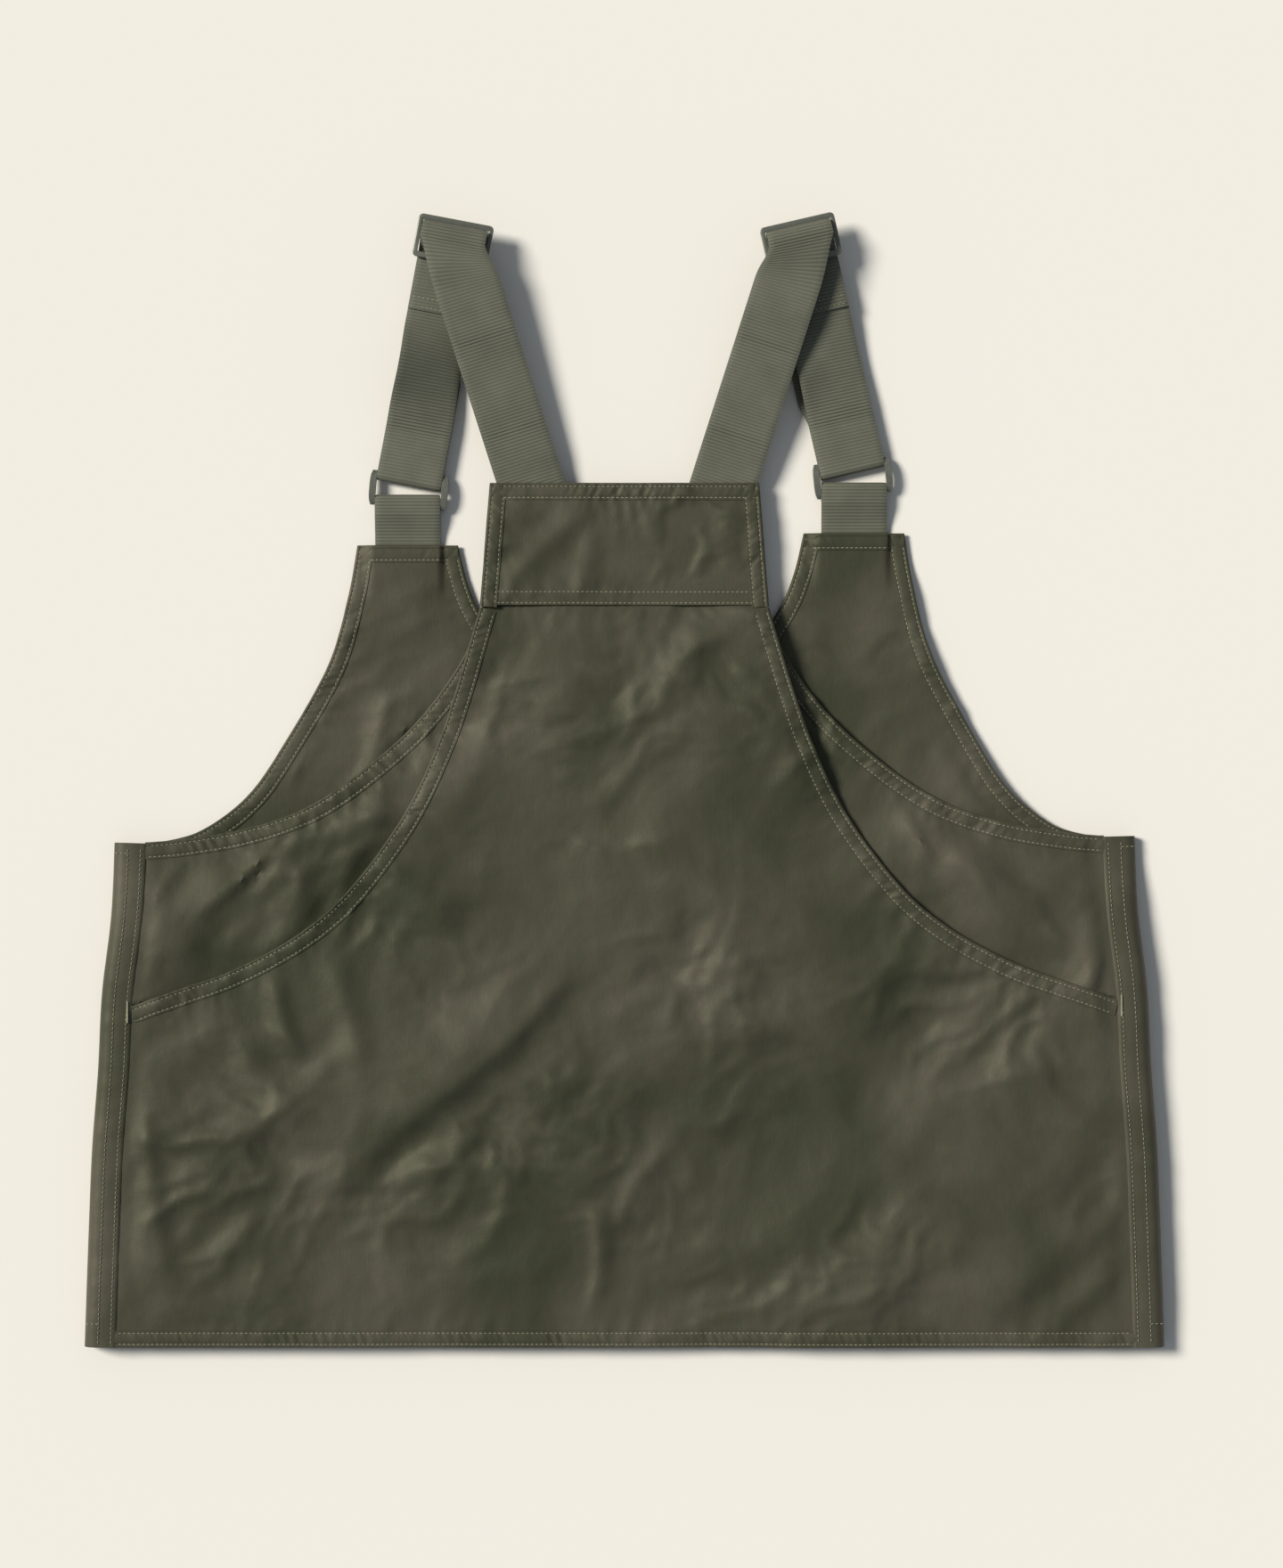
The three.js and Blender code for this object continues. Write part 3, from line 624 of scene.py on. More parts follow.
def hem(name, line, inwards, height, seed, under):
    """A turned, double-stitched hem along an edge; inwards is 1 if the cloth lies to the line's left.

    height is that of the layer whose edge shows, and under that of the lowest layer the hem takes in.
    """
    line = spaced(line, 0.9)
    along = lengths(line)
    strength = np.clip(0.5 + hills(along, 0 * along, 48, seed), 0.1, 1.15)
    columns = []
    for w, rise in HEM_TOP:
        points = sideways(line, inwards * w)
        swell = math.sin(math.pi * min(max((w - ROW_OUTER) / (ROW_INNER - ROW_OUTER), 0), 1))
        gather = 0.3 - np.abs(hills(along + 0.6 * w, np.full_like(along, 0.1 * w), 5.6, seed + 3))
        lift = height(points) + rise + HEM_GATHER * strength * gather * (0.15 + swell)
        columns.append(np.column_stack([points, np.maximum(lift, 0.05)]))
    for w in (9.4, 0.3):
        points = sideways(line, inwards * w)
        columns.append(np.column_stack([points, np.maximum(under(points) - CLOTH - 0.35, 0.03)]))
    return skin(name, np.stack(columns, axis=1), POPLIN)


# ---------------------------------------------------------------- materials

def linear(code):
    """An sRGB hex colour as linear light."""
    parts = [int(code[i:i + 2], 16) / 255 for i in (1, 3, 5)]
    return tuple([c / 12.92 if c <= 0.04045 else ((c + 0.055) / 1.055) ** 2.4 for c in parts] + [1.0])


def add(tree, kind, inputs=None, **settings):
    """Adds a node with its settings and its inputs, which are values or other nodes' outputs."""
    node = tree.nodes.new("ShaderNode" + kind)
    for key, value in settings.items():
        setattr(node, key, value)
    for key, value in (inputs or {}).items():
        if isinstance(value, bpy.types.NodeSocket):
            tree.links.new(value, node.inputs[key])
        else:
            node.inputs[key].default_value = value
    return node


def new_material(name, **values):
    """A material with its shader, ready for its own nodes."""
    material = bpy.data.materials.new(name)
    material.use_nodes = True
    shader = material.node_tree.nodes["Principled BSDF"]
    for key, value in values.items():
        shader.inputs[key.replace("_", " ")].default_value = value
    return material, material.node_tree, shader


def poplin():
    """Nylon-cotton poplin, woven tight and calendered: crisp, with a low sheen on its slopes."""
    material, tree, shader = new_material(
        "olive_nylon_cotton_poplin", Roughness=0.56, IOR=1.5, Specular_Tint=linear("#d2cab2"),
        Sheen_Weight=0.05, Sheen_Roughness=0.5, Sheen_Tint=linear("#b9ae8c"))
    place = add(tree, "TexCoord").outputs["Object"]
    # The broad patches vary the cloth's tone at random. Their brownish lighter and greenish darker
    # olives stand in for sheen-lit and shaded stretches, so they are partly painted sheen and painted
    # shade.
    tone_sheen_and_shade_patches = add(tree, "TexNoise", {"Vector": place, "Scale": 8.0, "Detail": 4.0, "Roughness": 0.55,
                                     "Distortion": 0.8})
    tone = add(tree, "ValToRGB", {"Fac": tone_sheen_and_shade_patches.outputs["Fac"]})
    tone.color_ramp.elements[0].position, tone.color_ramp.elements[1].position = 0.36, 0.64
    tone.color_ramp.elements[0].color = linear("#363929")
    tone.color_ramp.elements[1].color = linear("#4d4a3d")
    # Threads are 0.35 mm apart and are drawn 0.9 mm apart, so that the weave shows.
    slub = add(tree, "Mapping", {"Vector": place, "Scale": (1100.0, 120.0, 400.0)})
    streaks = add(tree, "TexNoise", {"Vector": slub.outputs["Vector"], "Scale": 1.0, "Detail": 2.0})
    worn = add(tree, "Mix", {"Factor": 0.16, "A": tone.outputs["Color"], "B": streaks.outputs["Color"]},
               data_type="RGBA", blend_type="OVERLAY")
    tree.links.new(worn.outputs["Result"], shader.inputs["Base Color"])
    warp = add(tree, "TexWave", {"Vector": place, "Scale": 350.0}, bands_direction="X")
    weft = add(tree, "TexWave", {"Vector": place, "Scale": 350.0}, bands_direction="Y")
    weave = add(tree, "Math", {0: warp.outputs["Fac"], 1: weft.outputs["Fac"]}, operation="MULTIPLY")
    grain = add(tree, "TexNoise", {"Vector": place, "Scale": 160.0, "Detail": 5.0, "Roughness": 0.6})
    fine = add(tree, "Bump", {"Height": weave.outputs["Value"], "Strength": 0.25, "Distance": 0.00012})
    rough = add(tree, "Bump", {"Height": grain.outputs["Fac"], "Strength": 0.4, "Distance": 0.0006,
                               "Normal": fine.outputs["Normal"]})
    tree.links.new(rough.outputs["Normal"], shader.inputs["Normal"])
    return material


def grosgrain():
    """Polyester grosgrain webbing: stiff cross ribs under a fine warp, matt."""
    material, tree, shader = new_material(
        "olive_grosgrain_webbing", Roughness=0.72, IOR=1.5, Sheen_Weight=0.1, Sheen_Roughness=0.4)
    place = add(tree, "TexCoord").outputs["Object"]
    streak = add(tree, "TexNoise", {"Vector": place, "Scale": 55.0, "Detail": 3.0})
    tone = add(tree, "ValToRGB", {"Fac": streak.outputs["Fac"]})
    tone.color_ramp.elements[0].color = linear("#4c4d3e")
    tone.color_ramp.elements[1].color = linear("#666655")
    # Painted shade darkens the valleys between the ribs, and a slight painted highlight lightens their
    # tops.
    rib = add(tree, "Attribute", attribute_name="rib")
    depth = add(tree, "MapRange", {"Value": rib.outputs["Fac"], "From Min": 0.0, "From Max": 0.75,
                                   "To Min": 0.45, "To Max": 1.1}, clamp=False)
    ribbed = add(tree, "Mix", {"Factor": 1.0, "A": tone.outputs["Color"], "B": depth.outputs["Result"]},
                 data_type="RGBA", blend_type="MULTIPLY")
    tree.links.new(ribbed.outputs["Result"], shader.inputs["Base Color"])
    threads = add(tree, "TexNoise", {"Vector": place, "Scale": 1400.0, "Detail": 2.0})
    bump = add(tree, "Bump", {"Height": threads.outputs["Fac"], "Strength": 0.35, "Distance": 0.0002})
    tree.links.new(bump.outputs["Normal"], shader.inputs["Normal"])
    return material


def sewing_thread():
    """Spun polyester sewing thread, a paler olive than the cloth."""
    material, tree, shader = new_material("pale_olive_sewing_thread", Roughness=0.7, IOR=1.5)
    place = add(tree, "TexCoord").outputs["Object"]
    wear = add(tree, "TexNoise", {"Vector": place, "Scale": 60.0, "Detail": 2.0})
    tone = add(tree, "ValToRGB", {"Fac": wear.outputs["Fac"]})
    tone.color_ramp.elements[0].color = linear("#7c7961")
    tone.color_ramp.elements[1].color = linear("#aaa68c")
    tree.links.new(tone.outputs["Color"], shader.inputs["Base Color"])
    return material


def painted_zinc():
    """Die-cast zinc under a satin olive baked paint."""
    material, tree, shader = new_material(
        "olive_painted_zinc", Roughness=0.34, IOR=1.5, Metallic=0.35,
        Coat_Weight=0.2, Coat_Roughness=0.25)
    place = add(tree, "TexCoord").outputs["Object"]
    specks = add(tree, "TexNoise", {"Vector": place, "Scale": 420.0, "Detail": 4.0})
    tone = add(tree, "ValToRGB", {"Fac": specks.outputs["Fac"]})
    tone.color_ramp.elements[0].color = linear("#5b5c50")
    tone.color_ramp.elements[1].color = linear("#7a7b6e")
    tree.links.new(tone.outputs["Color"], shader.inputs["Base Color"])
    bump = add(tree, "Bump", {"Height": specks.outputs["Fac"], "Strength": 0.15, "Distance": 0.0001})
    tree.links.new(bump.outputs["Normal"], shader.inputs["Normal"])
    return material


POPLIN, GROSGRAIN, SEWING, ZINC = poplin(), grosgrain(), sewing_thread(), painted_zinc()


def dress(piece, body="garment", stands_for=()):
    """A finished piece rides on its body and stands for its CAD nodes."""
    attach(piece, body)
    if stands_for:
        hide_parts(*stands_for)
    return piece


# ---------------------------------------------------------------- stitches

def one_stitch():
    """The shape that every stitch copies: a short thread with its ends tucked in."""
    bpy.ops.object.select_all(action="DESELECT")
    bpy.ops.mesh.primitive_uv_sphere_add(segments=6, ring_count=5, radius=1.0, location=(0, 0, 0))
    stitch = bpy.context.object
    stitch.rotation_euler = (0, math.radians(90), 0)
    stitch.scale = (THREAD / 2, THREAD / 2, STITCH_LENGTH / 2)
    bpy.ops.object.transform_apply(location=True, rotation=True, scale=True)
    # A sphere's corners and faces come in another order in each run, so they are put in a fixed one.
    points = np.array([v.co for v in stitch.data.vertices])
    order = np.lexsort(np.round(points, 4).T)
    rank = np.argsort(order).tolist()
    faces = []
    for face in stitch.data.polygons:
        corners = [rank[i] for i in face.vertices]
        first = corners.index(min(corners))
        faces.append(tuple(corners[first:] + corners[:first]))
    bpy.data.objects.remove(stitch)
    return points[order], sorted(faces)


STITCH_POINTS, STITCH_FACES = one_stitch()
rows = {}


def sew(seam, line, height, rise=0.35, start=0.0, pitch=STITCH):
    """Adds a row of stitches along a line to the thread of a seam."""
    along = lengths(line)
    at = np.arange(start + pitch / 2, along[-1] - start, pitch)
    behind, centre, ahead = (
        np.stack([np.interp(at + step, along, line[:, k]) for k in range(2)], axis=1)
        for step in (-0.6, 0, 0.6))
    level = height(centre) + rise
    slope = (height(ahead) - height(behind)) / 1.2
    turn = np.arctan2(*(ahead - behind).T[::-1])
    rows.setdefault(seam, []).append((centre, level, turn, slope))


def thread(name, seams):
    """One mesh of all the stitches of some seams."""
    points, faces = [], []
    px, py, pz = STITCH_POINTS.T
    for seam in seams:
        for row in rows[seam]:
            for (x, y), z, a, tilt in zip(*row):
                first = len(points) * len(px)
                points.append(np.column_stack([
                    x + px * math.cos(a) - py * math.sin(a),
                    y + px * math.sin(a) + py * math.cos(a),
                    z + pz + px * tilt,
                ]))
                faces.extend(tuple(first + i for i in f) for f in STITCH_FACES)
    return dress(new_piece(name, np.vstack(points), faces, SEWING, 80))


# ---------------------------------------------------------------- the cloth panels


def lay(name, node, loop, height, rests_on, **density):
    """One panel of the garment, laid on what is under it."""
    loop = tucked(loop)
    piece = panel(name, loop, height, **density)
    dress(piece, stands_for=(node,))


GRID_X = np.arange(-330.0, 331.0)
GRID_Y = np.arange(-338.0, 186.0)
GRID = np.stack(np.meshgrid(GRID_X, GRID_Y), axis=-1).reshape(-1, 2)


def read_off(values, points):
    """Reads a map of the floor, with one value to the millimetre, at places between its values."""
    u, v = points[:, 0] - GRID_X[0], points[:, 1] - GRID_Y[0]
    i = np.clip(u.astype(int), 0, len(GRID_X) - 2)
    j = np.clip(v.astype(int), 0, len(GRID_Y) - 2)
    u, v = u - i, v - j
    lower = values[j, i] * (1 - u) + values[j, i + 1] * u
    upper = values[j + 1, i] * (1 - u) + values[j + 1, i + 1] * u
    return lower * (1 - v) + upper * v


def mapped(height, over=None, loop=None, room=0.0):
    """A layer's height, worked out once for the whole floor and held under the layer over it."""
    values = height(GRID)
    if over is not None:
        covered = within(GRID, loop)
        values[covered] = np.minimum(values[covered], over(GRID[covered]) - room)
    values = np.maximum(values, CLOTH + 0.05).reshape(len(GRID_Y), len(GRID_X))
    return lambda points: read_off(values, points)


def outside_of(loop):
    """Whether places lie clear of a layer's outline, where the layer below it shows."""
    values = (~within(GRID, sideways(np.vstack([loop, loop[:1]]), 12)[:-1])).astype(float)
    values = values.reshape(len(GRID_Y), len(GRID_X))
    return lambda points: read_off(values, points) > 0.5


yoke_lie = mapped(yoke_height)
pocket_lie = mapped(pocket_height, yoke_lie, YOKE, ROOM_UNDER_YOKE)
body_lie = mapped(body_height, pocket_lie, POCKET, ROOM_UNDER_PANEL)
rear_lie = mapped(rear_height, body_lie, BODY, ROOM_UNDER_PANEL)

hems = {}
for side in SIDES:
    s = SIGN[side]
    # A line runs outwards and down, so the cloth lies to its left on the left side.
    for name, node, lines, inwards, lie in (
            ("rear_armhole_hem", "rear_armhole_binding", ARMHOLE_REAR, -s, rear_lie),
            ("body_armhole_hem", "body_armhole_binding", ARMHOLE_BODY, -s, body_lie),
            ("pocket_mouth_hem", "pocket_mouth_binding", MOUTH, -s, pocket_lie),
            ("bib_side_hem", "bib_side_binding", BIB_SIDE, s, yoke_lie)):
        hems[f"{name}_{side}"] = (lines[side], inwards, lie, (f"{node}_{side}",))
    hems[f"lobe_hem_{side}"] = (LOBE_TOP[side], s, rear_lie, ())
hems["neck_hem"] = (NECK, -1, rear_lie, ("rear_neck_binding",))
hems["bib_top_hem"] = (BIB_TOP, -1, yoke_lie, ("bib_top_band",))
hems["front_hem"] = (HEM_FRONT, 1, pocket_lie, ("front_hem_band",))
hems["rear_hem"] = (HEM_FRONT, 1, rear_lie, ("rear_hem_band",))

for number, (name, (line, inwards, height, nodes)) in enumerate(hems.items()):
    # The front hem takes in the body panel as well as the pocket.
    under = body_lie if name == "front_hem" else height
    piece = hem(name, line, inwards, height, 200 + 7 * number, under)
    dress(piece, stands_for=nodes)
    # A lobe's top is sewn along its inner row only.
    for distance in (ROW_INNER,) if name.startswith("lobe") else (ROW_OUTER, ROW_INNER):
        sew(name, sideways(spaced(line, 2.0), inwards * distance), height, 0.45, 2.0)

lay("rear_cloth", "rear_panel", REAR, rear_lie, ["floor"], coarse=3.6, dense=outside_of(BODY))
lay("body_cloth", "body_panel", BODY, body_lie, ["rear_cloth"], coarse=3.6, dense=outside_of(POCKET))
lay("pocket_cloth", "pocket_panel", POCKET, pocket_lie, ["body_cloth"], coarse=2.9)
lay("yoke_cloth", "bib_yoke", YOKE, yoke_lie, ["pocket_cloth"], fine=1.4, coarse=2.2)
for distance in (ROW_OUTER, ROW_INNER):
    sew("yoke_seam", sideways(BIB_SEAM, distance), yoke_lie, 0.1, 1.0)


# ---------------------------------------------------------------- the side bands

def side_band(side):
    """The band that folds round the side, flat on top and bottom with a soft roll between."""
    s = SIGN[side]
    share = np.linspace(0, 1, 150)
    inner, outer = (
        np.stack([np.interp(share, np.linspace(0, 1, len(line)), line[:, k]) for k in range(2)], axis=1)
        for line in (spaced(SEAM[side], 2.0), spaced(FOLD[side], 2.0)))
    y = inner[:, 1]
    just_in = sideways(inner, -3.0 * s)
    pocketed = ramp(-y, -MOUTH_END[side][1] - 4, -MOUTH_END[side][1] + 4)
    high = body_lie(just_in)
    high = high + (pocket_lie(just_in) - high) * pocketed + 0.9
    high = np.convolve(np.pad(high, 3, mode="edge"), np.ones(7) / 7, mode="valid")
    low = 0.75
    wave = 0.5 * hills(y, 0 * y, 26, 300 + len(side)) + 0.25 * hills(y, 0 * y, 9, 302 + len(side))
    # Shares of the way from the seam to the fold, and of the height, round the outside and back inside.
    outside = [(-0.05, 0.95), (0.0, 1.0), (0.07, 1.003), (0.11, 0.995), (0.16, 1.005), (0.33, 1.012),
               (0.46, 1.007), (0.5, 1.0), (0.56, 1.002), (0.68, 0.985), (0.8, 0.93), (0.9, 0.81),
               (0.97, 0.64), (1.0, 0.42), (0.985, 0.24), (0.93, 0.1), (0.84, 0.02), (0.6, 0.0),
               (0.3, 0.0), (0.0, 0.0)]

    def wavy(u, v):
        return (wave if v > 0.5 else 0) * min(1, 2 * u + 0.3)

    columns = []
    for u, v in outside:
        place = inner + u * (outer - inner)
        puck = 0.12 * hills(y, np.full_like(y, 3 * u), 7, 310 + len(side)) if v > 0.9 else 0
        z = low + (high - low) * v + wavy(u, v) + puck
        columns.append(np.column_stack([place, np.maximum(z, 0.1)]))
    for u, v in reversed(outside):
        place = inner + (u * 0.955 + 0.01) * (outer - inner)
        z = low + CLOTH * 0.7 + (high - low - 2.2 * CLOTH) * v + wavy(u, v)
        columns.append(np.column_stack([place, z]))
    piece = skin(f"side_band_cloth_{side}", np.stack(columns, axis=1), POPLIN)
    dress(piece, stands_for=(f"side_band_{side}",))

    def band_height(points):
        return np.interp(-points[:, 1], -y, high + wave) + 0.3

    for share_in in (0.11, 0.52):
        sew("side_band", inner + share_in * (outer - inner), band_height, 0.1, 3.0)
    # A short row crosses the band near each of its ends.
    for k in (3, -8):
        tie = np.stack([inner[k] + t * (outer[k] - inner[k]) for t in np.linspace(0.5, 0.95, 8)])
        sew("side_band", tie, band_height, -0.2, 0.0)
    return band_height


BAND_HEIGHT = {side: side_band(side) for side in SIDES}

# Bar tacks hold the ends of the pocket mouths.
for side in SIDES:
    s = SIGN[side]
    end = MOUTH_END[side]
    x = end[0] + s * 1.6
    for k in range(4):
        line = np.array([[x + s * 0.22 * k, end[1] + 2], [x + s * 0.22 * k, end[1] - 9.5]])
        sew("bar_tacks", spaced(line, 1.0), BAND_HEIGHT[side], 0.35, 0.0, 1.35)

thread("rear_thread", [n for n in hems if n.startswith(("rear", "neck", "lobe"))])
thread("body_thread", [n for n in hems if n.startswith("body")])
thread("pocket_thread", [n for n in hems if n.startswith(("pocket", "front"))])
thread("bib_thread", [n for n in hems if n.startswith("bib")] + ["yoke_seam"])
thread("side_thread", ["side_band", "bar_tacks"])


# ---------------------------------------------------------------- webbing

def ribbon(name, middle, across, normal):
    """Ribbed webbing through places in space, each with its way across and its upward way, in mm."""
    cord = np.abs(np.sin(math.pi * lengths(middle) / RIB)) ** 0.6
    columns = []
    spots = np.array([-1.0, -0.985, -0.95, -0.8, -0.5, -0.17, 0.17, 0.5, 0.8, 0.95, 0.985, 1.0])
    for way in (1, -1):
        for spot in spots * way:
            full = 1 - 0.65 * ramp(abs(spot), 0.93, 1.0)
            thick = way * full * (WEB / 2 + RIB_HEIGHT * (cord - 0.5))
            ends = spot * (WEB_WIDTH / 2 + 0.12 * cord)
            columns.append(middle + across * ends[:, None] + normal * thick[:, None])
    piece = skin(name, np.stack(columns, axis=1), GROSGRAIN, 60)
    # The rib attribute also drives the painted shade in the valleys and the painted highlight on the rib
    # tops.
    ribs = piece.data.attributes.new("rib", "FLOAT", "POINT")
    ribs.data.foreach_set("value", np.repeat(cord, len(columns)).astype(np.float32))
    return piece


def arc(centre, radius, start, end, steps=40):
    t = np.radians(np.linspace(start, end, steps))
    return np.column_stack([centre[0] + radius * np.cos(t), centre[1] + radius * np.sin(t)])


def on_run(origin, turn, path):
    """Places, ways across and upward ways along a run turned in plan, from its side view (along, up)."""
    way = np.gradient(path, axis=0)
    way /= np.linalg.norm(way, axis=1)[:, None]
    ahead = np.array([-math.sin(turn), math.cos(turn)])
    middle = np.column_stack([origin + ahead * path[:, :1], path[:, 1]])
    across = np.tile([math.cos(turn), math.sin(turn), 0.0], (len(path), 1))
    normal = np.column_stack([ahead * -way[:, 1:], way[:, 0]])
    return middle, across, normal


def web_on_run(name, origin, turn, path, roll=None):
    """Webbing along a run; roll gives the angle that it leans over by at each distance along it."""
    path = spaced(path, RIB / 4)
    middle, across, normal = on_run(origin, turn, path)
    if roll is not None:
        lean = np.radians(roll(path[:, 0]))[:, None] * np.sign(normal[:, 2:])
        across, normal = (across * np.cos(lean) - normal * np.sin(lean),
                          normal * np.cos(lean) + across * np.sin(lean))
    return ribbon(name, middle, across, normal)


JOINTS = {joint["name"]: joint for joint in frame["joints"]}


def plan_turn(way):
    """How far an axis is turned in plan, between -90 and 90 degrees, in radians."""
    turn = math.atan2(way[1], way[0])
    return turn - math.copysign(math.pi, turn) if abs(turn) > math.pi / 2 else turn


def strap(side):
    """All the webbing of one shoulder; gives back where its ring and slider go."""
    hinge, tilt = JOINTS[f"ring_hinge_{side}"], JOINTS[f"slider_tilt_{side}"]
    lower, fold = (np.array(j["pos_m"]) / MM for j in (hinge, tilt))
    ring_turn, back_turn = (plan_turn(j["axis"]) for j in (hinge, tilt))
    ahead = np.array([-math.sin(back_turn), math.cos(back_turn)])
    upper = lower[:2] + RING_SPACING * np.array([-math.sin(ring_turn), math.cos(ring_turn)])
    back = float(np.linalg.norm(fold[:2] - upper))
    ring_z, fold_z = lower[2], fold[2]

    # The loop round the ring's upper bar.
    loop = np.vstack([[[LOOP_LEG, ring_z - LEG_GAP]], arc((-BAR_SLACK, ring_z), LEG_GAP, 270, 90),
                      [[LOOP_LEG, ring_z + LEG_GAP]]])
    piece = web_on_run(f"ring_loop_{side}", upper, back_turn, loop)
    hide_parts(f"strap_ring_loop_{side}")
    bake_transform(piece)

    # The end that runs back up from the ring, under the slider's near bar, round its middle bar and down
    # through the same slot, to lie sewn on itself.
    back_path = np.vstack([
        [(LOOP_LEG, ring_z + LEG_GAP), (back - 30, fold_z - 6.0), (back - 14.9, fold_z - 5.1),
         (back - 5, fold_z - 3.6)],
        arc((back, fold_z), EYE_RADIUS, 270, 500),
        [(back - 5.6, fold_z - 1.9), (back - 8.6, fold_z - 3.25), (back - 14, fold_z - 3.4),
         (back - 30, fold_z - 4.3), (back - 42, fold_z - 4.7)]])

    def bulge(distance):
        """Between the ring and the slider the webbing bows up and leans over."""
        return np.sin(math.pi * np.clip((distance - LOOP_LEG) / (back - 34 - LOOP_LEG), 0, 1)) ** 2

    leaning = BACK_RUN_LEAN[side]
    first_part = spaced(back_path[:2], 2.0)
    first_part[:, 1] += 3.6 * bulge(first_part[:, 0]) * leaning / BACK_RUN_LEAN["left"]
    back_path = np.vstack([first_part, back_path[2:]])
    piece = web_on_run(f"strap_end_{side}", upper, back_turn, back_path, lambda d: leaning * bulge(d))
    dress(piece, stands_for=(f"strap_return_{side}",))
    tail = back_path[-2:]
    for distance in (back - 35.0, back - 40.0):
        level = float(np.interp(-distance, -tail[:, 0], tail[:, 1]))
        middle, sidewise = upper + ahead * distance, 17.5 * np.array([ahead[1], -ahead[0]])
        sew("strap_end", spaced(np.array([middle - sidewise, middle + sidewise]), 1.0),
            lambda points, z=level: np.full(len(points), z), 0.75)

    # The strap: under the end and the slider, round its middle bar, and down over them to the bib.
    base = np.array([STRAP_BASE[side], yoke_high[1]])
    lean = math.radians(STRAP_LEAN) * -SIGN[side]
    front = float(np.linalg.norm(fold[:2] - base))
    # The bend lies close under the slider's far bar.
    over_bar = back + 1.75
    side_path = spaced(np.vstack([
        [(LOOP_LEG, ring_z - LEG_GAP), (back, fold_z - FOLD_RADIUS)],
        arc((over_bar, fold_z), FOLD_RADIUS, -88, 90), [(back, fold_z + FOLD_RADIUS)]]), RIB / 4)
    middle, across, normal = on_run(upper, back_turn, side_path)
    if side == "right":
        # Its lower layer slips out a little to the left of the upper one.
        slipped = -3.4 * ramp(side_path[:, 0], 26, 42) * ramp(back - side_path[:, 0], 40, 62)
        slipped[side_path[:, 1] > fold_z - FOLD_RADIUS + 1] = 0
        middle += across * slipped[:, None]
    reach = front + STRAP_HIDDEN
    travelled = np.linspace(0, 1, int(reach / (RIB / 4)))[1:] * reach
    down = fold[:2] + (base - fold[:2]) * (travelled / front)[:, None]
    top_z, base_z = fold_z + FOLD_RADIUS, YOKE_LEVEL - 2.0 - BIB_DROOP
    level = top_z + (base_z - top_z) * np.clip(travelled / front, 0, 1.05)
    level -= 0.9 * ramp(travelled, front - 16, front - 3)
    level += 1.2 * np.sin(math.pi * np.clip(travelled / front, 0, 1)) * np.exp(-travelled / 60)
    twist = lean + (back_turn - lean) * (1 - ramp(travelled, 0, 34))
    front_across = np.column_stack([np.cos(twist), np.sin(twist), 0 * twist])
    way = np.gradient(np.column_stack([down, level]), axis=0)
    front_normal = np.cross(way, front_across)
    front_normal *= np.sign(front_normal[:, 2])[:, None] / np.linalg.norm(front_normal, axis=1)[:, None]
    # Over the fold the first run's upward way has turned over, so the second is joined upside down.
    middle = np.vstack([middle, np.column_stack([down, level])])
    across = np.vstack([across, front_across])
    normal = np.vstack([normal, -front_normal])
    piece = ribbon(f"strap_{side}", middle, across, normal)
    dress(piece, stands_for=(f"strap_webbing_{side}",))

    # The tab round the ring's lower bar, sewn in under the lobe's hem.
    tab_top = LOBE_OUTER[side][1] - lower[1]
    tab_path = np.vstack([
        [(tab_top - 12, 0.9), (tab_top + 2, 1.1), (-8, ring_z - LEG_GAP)],
        arc((BAR_SLACK, ring_z), LEG_GAP, 270, 450),
        [(-6, ring_z + LEG_GAP - 0.3), (tab_top + 6, 3.2), (tab_top - 1, 2.3), (tab_top - 12, 2.2)]])
    piece = web_on_run(f"tab_{side}", lower[:2], 0.0, tab_path)
    dress(piece, stands_for=(f"tab_webbing_{side}",))
    return lower, ring_turn, fold, back_turn


def settle(piece, place, turn):
    """Moves a piece made round the origin, in mm, to its place in the frame."""
    piece.matrix_world = (Matrix.Translation(Vector(place) * MM) @ Matrix.Rotation(turn, 4, "Z")
                          @ Matrix.Diagonal((MM, MM, MM, 1)))
    pick(piece)
    bpy.ops.object.transform_apply(location=True, rotation=True, scale=True)


def block(size, place=(0, 0, 0)):
    """A box of a size round a place."""
    bpy.ops.object.select_all(action="DESELECT")
    bpy.ops.mesh.primitive_cube_add(size=1, location=place)
    made = bpy.context.object
    made.scale = size
    bpy.ops.object.transform_apply(location=True, rotation=True, scale=True)
    return made


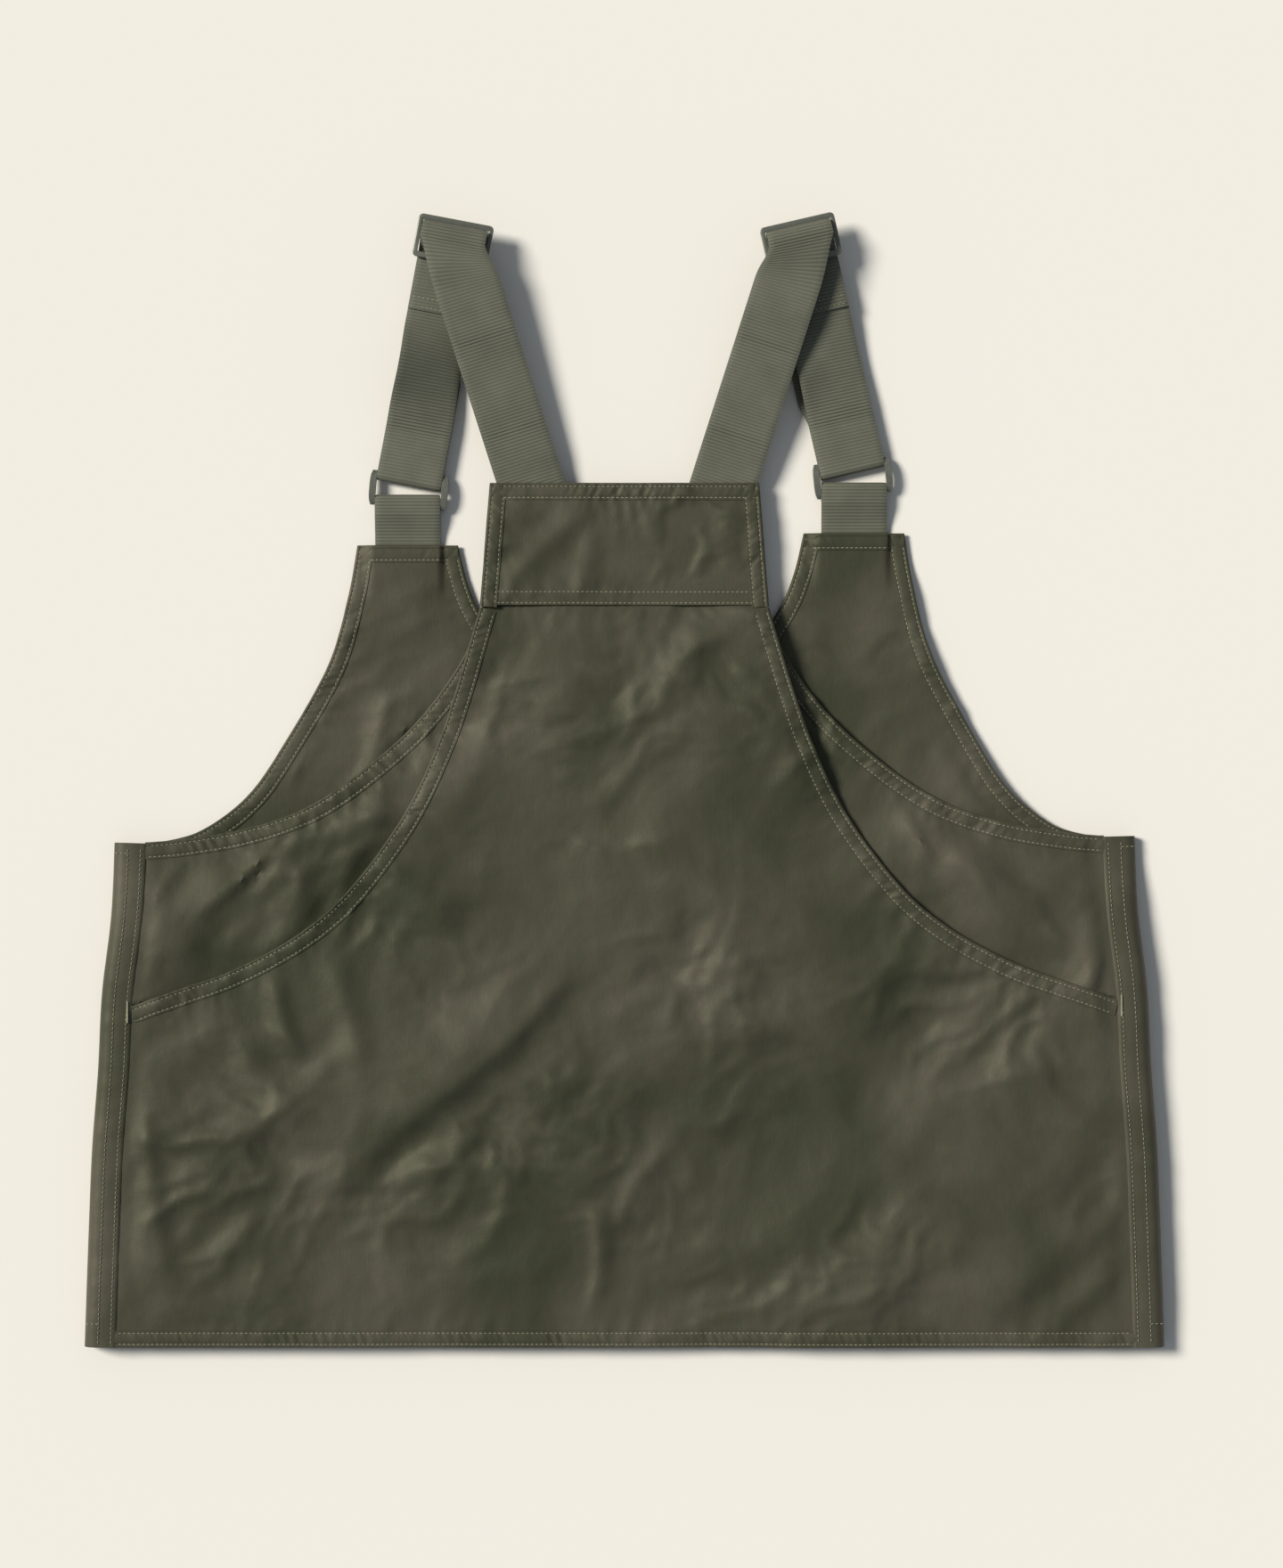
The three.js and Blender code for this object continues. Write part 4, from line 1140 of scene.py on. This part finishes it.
def ring_hardware(side, lower, ring_turn):
    """A ladder ring: two round bars between arched, flat-faced side plates."""
    half = WEB_WIDTH / 2 + HARDWARE_PLAY
    parts = []
    for y in (0.0, RING_SPACING):
        bpy.ops.object.select_all(action="DESELECT")
        bpy.ops.mesh.primitive_cylinder_add(vertices=24, radius=WIRE / 2, depth=2 * half + 2,
                                            location=(0, y, 0), rotation=(0, math.radians(90), 0))
        bpy.ops.object.transform_apply(location=True, rotation=True, scale=True)
        parts.append(bpy.context.object)
    for way in (-1, 1):
        plate = block((3.8, RING_SPACING + 4.0, 3.6), (way * (half + 1.1), RING_SPACING / 2, 0.35))
        bpy.ops.object.mode_set(mode="EDIT")
        bpy.ops.mesh.select_all(action="SELECT")
        bpy.ops.mesh.subdivide(number_cuts=7)
        bpy.ops.object.mode_set(mode="OBJECT")
        for v in plate.data.vertices:
            u = (v.co.y - RING_SPACING / 2) / (RING_SPACING / 2 + 2.2)
            v.co.z += 1.9 * (1 - u * u) - 0.9
            if way * v.co.x > half + 1.1:
                v.co.x -= way * 1.3 * u ** 4
        bevel = plate.modifiers.new("edges", "BEVEL")
        bevel.width, bevel.segments = 0.75, 3
        bevel.limit_method, bevel.angle_limit = "ANGLE", math.radians(50)
        pick(plate)
        bpy.ops.object.modifier_apply(modifier=bevel.name)
        parts.append(plate)
    pick(*parts)
    bpy.ops.object.join()
    piece = bpy.context.object
    piece.name = piece.data.name = f"ladder_ring_{side}"
    finish_piece(piece, ZINC, 35)
    settle(piece, lower, ring_turn)
    dress(piece, f"ring_{side}", (f"strap_ring_{side}",))


def slider_hardware(side, fold, back_turn):
    """A three-bar slider: a plate with round corners and two slots, all its edges softened."""
    half = WEB_WIDTH / 2 + HARDWARE_PLAY / 2 + SLIDER_RAIL
    plate = block((2 * half, SLIDER_LENGTH, SLIDER_THICKNESS))
    corners = plate.modifiers.new("corners", "BEVEL")
    corners.width, corners.segments, corners.affect, corners.limit_method = 2.6, 5, "EDGES", "WEIGHT"
    weights = plate.data.attributes.new("bevel_weight_edge", "FLOAT", "EDGE")
    for edge in plate.data.edges:
        a, b = (plate.data.vertices[i].co for i in edge.vertices)
        weights.data[edge.index].value = 1.0 if abs(a.z - b.z) > 1 else 0.0
    pick(plate)
    bpy.ops.object.modifier_apply(modifier=corners.name)
    slot_length = SLIDER_LENGTH / 2 - SLIDER_BAR * 1.5
    for way in (-1, 1):
        cutter = block((2 * (half - SLIDER_RAIL), slot_length, 8),
                       (0, way * (SLIDER_BAR + slot_length) / 2, 0))
        slot = plate.modifiers.new("slot", "BOOLEAN")
        slot.object, slot.operation, slot.solver = cutter, "DIFFERENCE", "EXACT"
        pick(plate)
        bpy.ops.object.modifier_apply(modifier=slot.name)
        bpy.data.objects.remove(cutter)
    soft = plate.modifiers.new("soft", "BEVEL")
    soft.width, soft.segments, soft.limit_method, soft.angle_limit = 0.7, 3, "ANGLE", math.radians(50)
    bpy.ops.object.modifier_apply(modifier=soft.name)
    plate.name = plate.data.name = f"slider_plate_{side}"
    finish_piece(plate, ZINC, 35)
    settle(plate, fold, back_turn)
    dress(plate, f"slider_{side}", (f"strap_slider_{side}",))


for side in SIDES:
    lower, ring_turn, fold, back_turn = strap(side)
    ring_hardware(side, lower, ring_turn)
    slider_hardware(side, fold, back_turn)

thread("strap_thread", ["strap_end"])


# ---------------------------------------------------------------- floor, light and camera

def studio():
    """A cream floor, wide enough to fill low views too, one soft key light and a camera overhead."""
    bpy.ops.object.select_all(action="DESELECT")
    bpy.ops.mesh.primitive_plane_add(size=40, location=(0, 0, -0.0003))
    floor = bpy.context.object
    floor.name = "floor"
    material, _, shader = new_material("cream_paper_sweep", Roughness=0.9)
    shader.inputs["Base Color"].default_value = linear("#f1ece0")
    shader.inputs["Specular IOR Level"].default_value = 0.1
    floor.data.materials.append(material)
    floor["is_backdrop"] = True

    world = bpy.data.worlds.new("studio")
    world.use_nodes = True
    bpy.context.scene.world = world
    back = world.node_tree.nodes["Background"]
    back.inputs["Color"].default_value = (0.76, 0.85, 1.0, 1.0)
    back.inputs["Strength"].default_value = 0.26

    key = bpy.data.lights.new("key", "SUN")
    key.energy, key.angle = 3.80, math.radians(19)
    key.color = (1.0, 0.975, 0.935)
    lamp = bpy.data.objects.new("key", key)
    bpy.context.scene.collection.objects.link(lamp)
    lamp.location = Vector((-1.72, 0.70, 1.67))
    lamp.rotation_euler = (-lamp.location).to_track_quat("-Z", "Y").to_euler()

    lens = bpy.data.cameras.new("camera")
    lens.lens, lens.sensor_width = 85.0, 36.0
    lens.clip_start, lens.clip_end = 0.05, 50.0
    camera = bpy.data.objects.new("camera", lens)
    bpy.context.scene.collection.objects.link(camera)
    # Straight down, from just beside the garment's middle.
    camera.location = (0.0098, -0.0025, 2.146)
    bpy.context.scene.camera = camera
    bpy.context.scene.view_settings.view_transform = "Standard"


studio()

low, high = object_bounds()
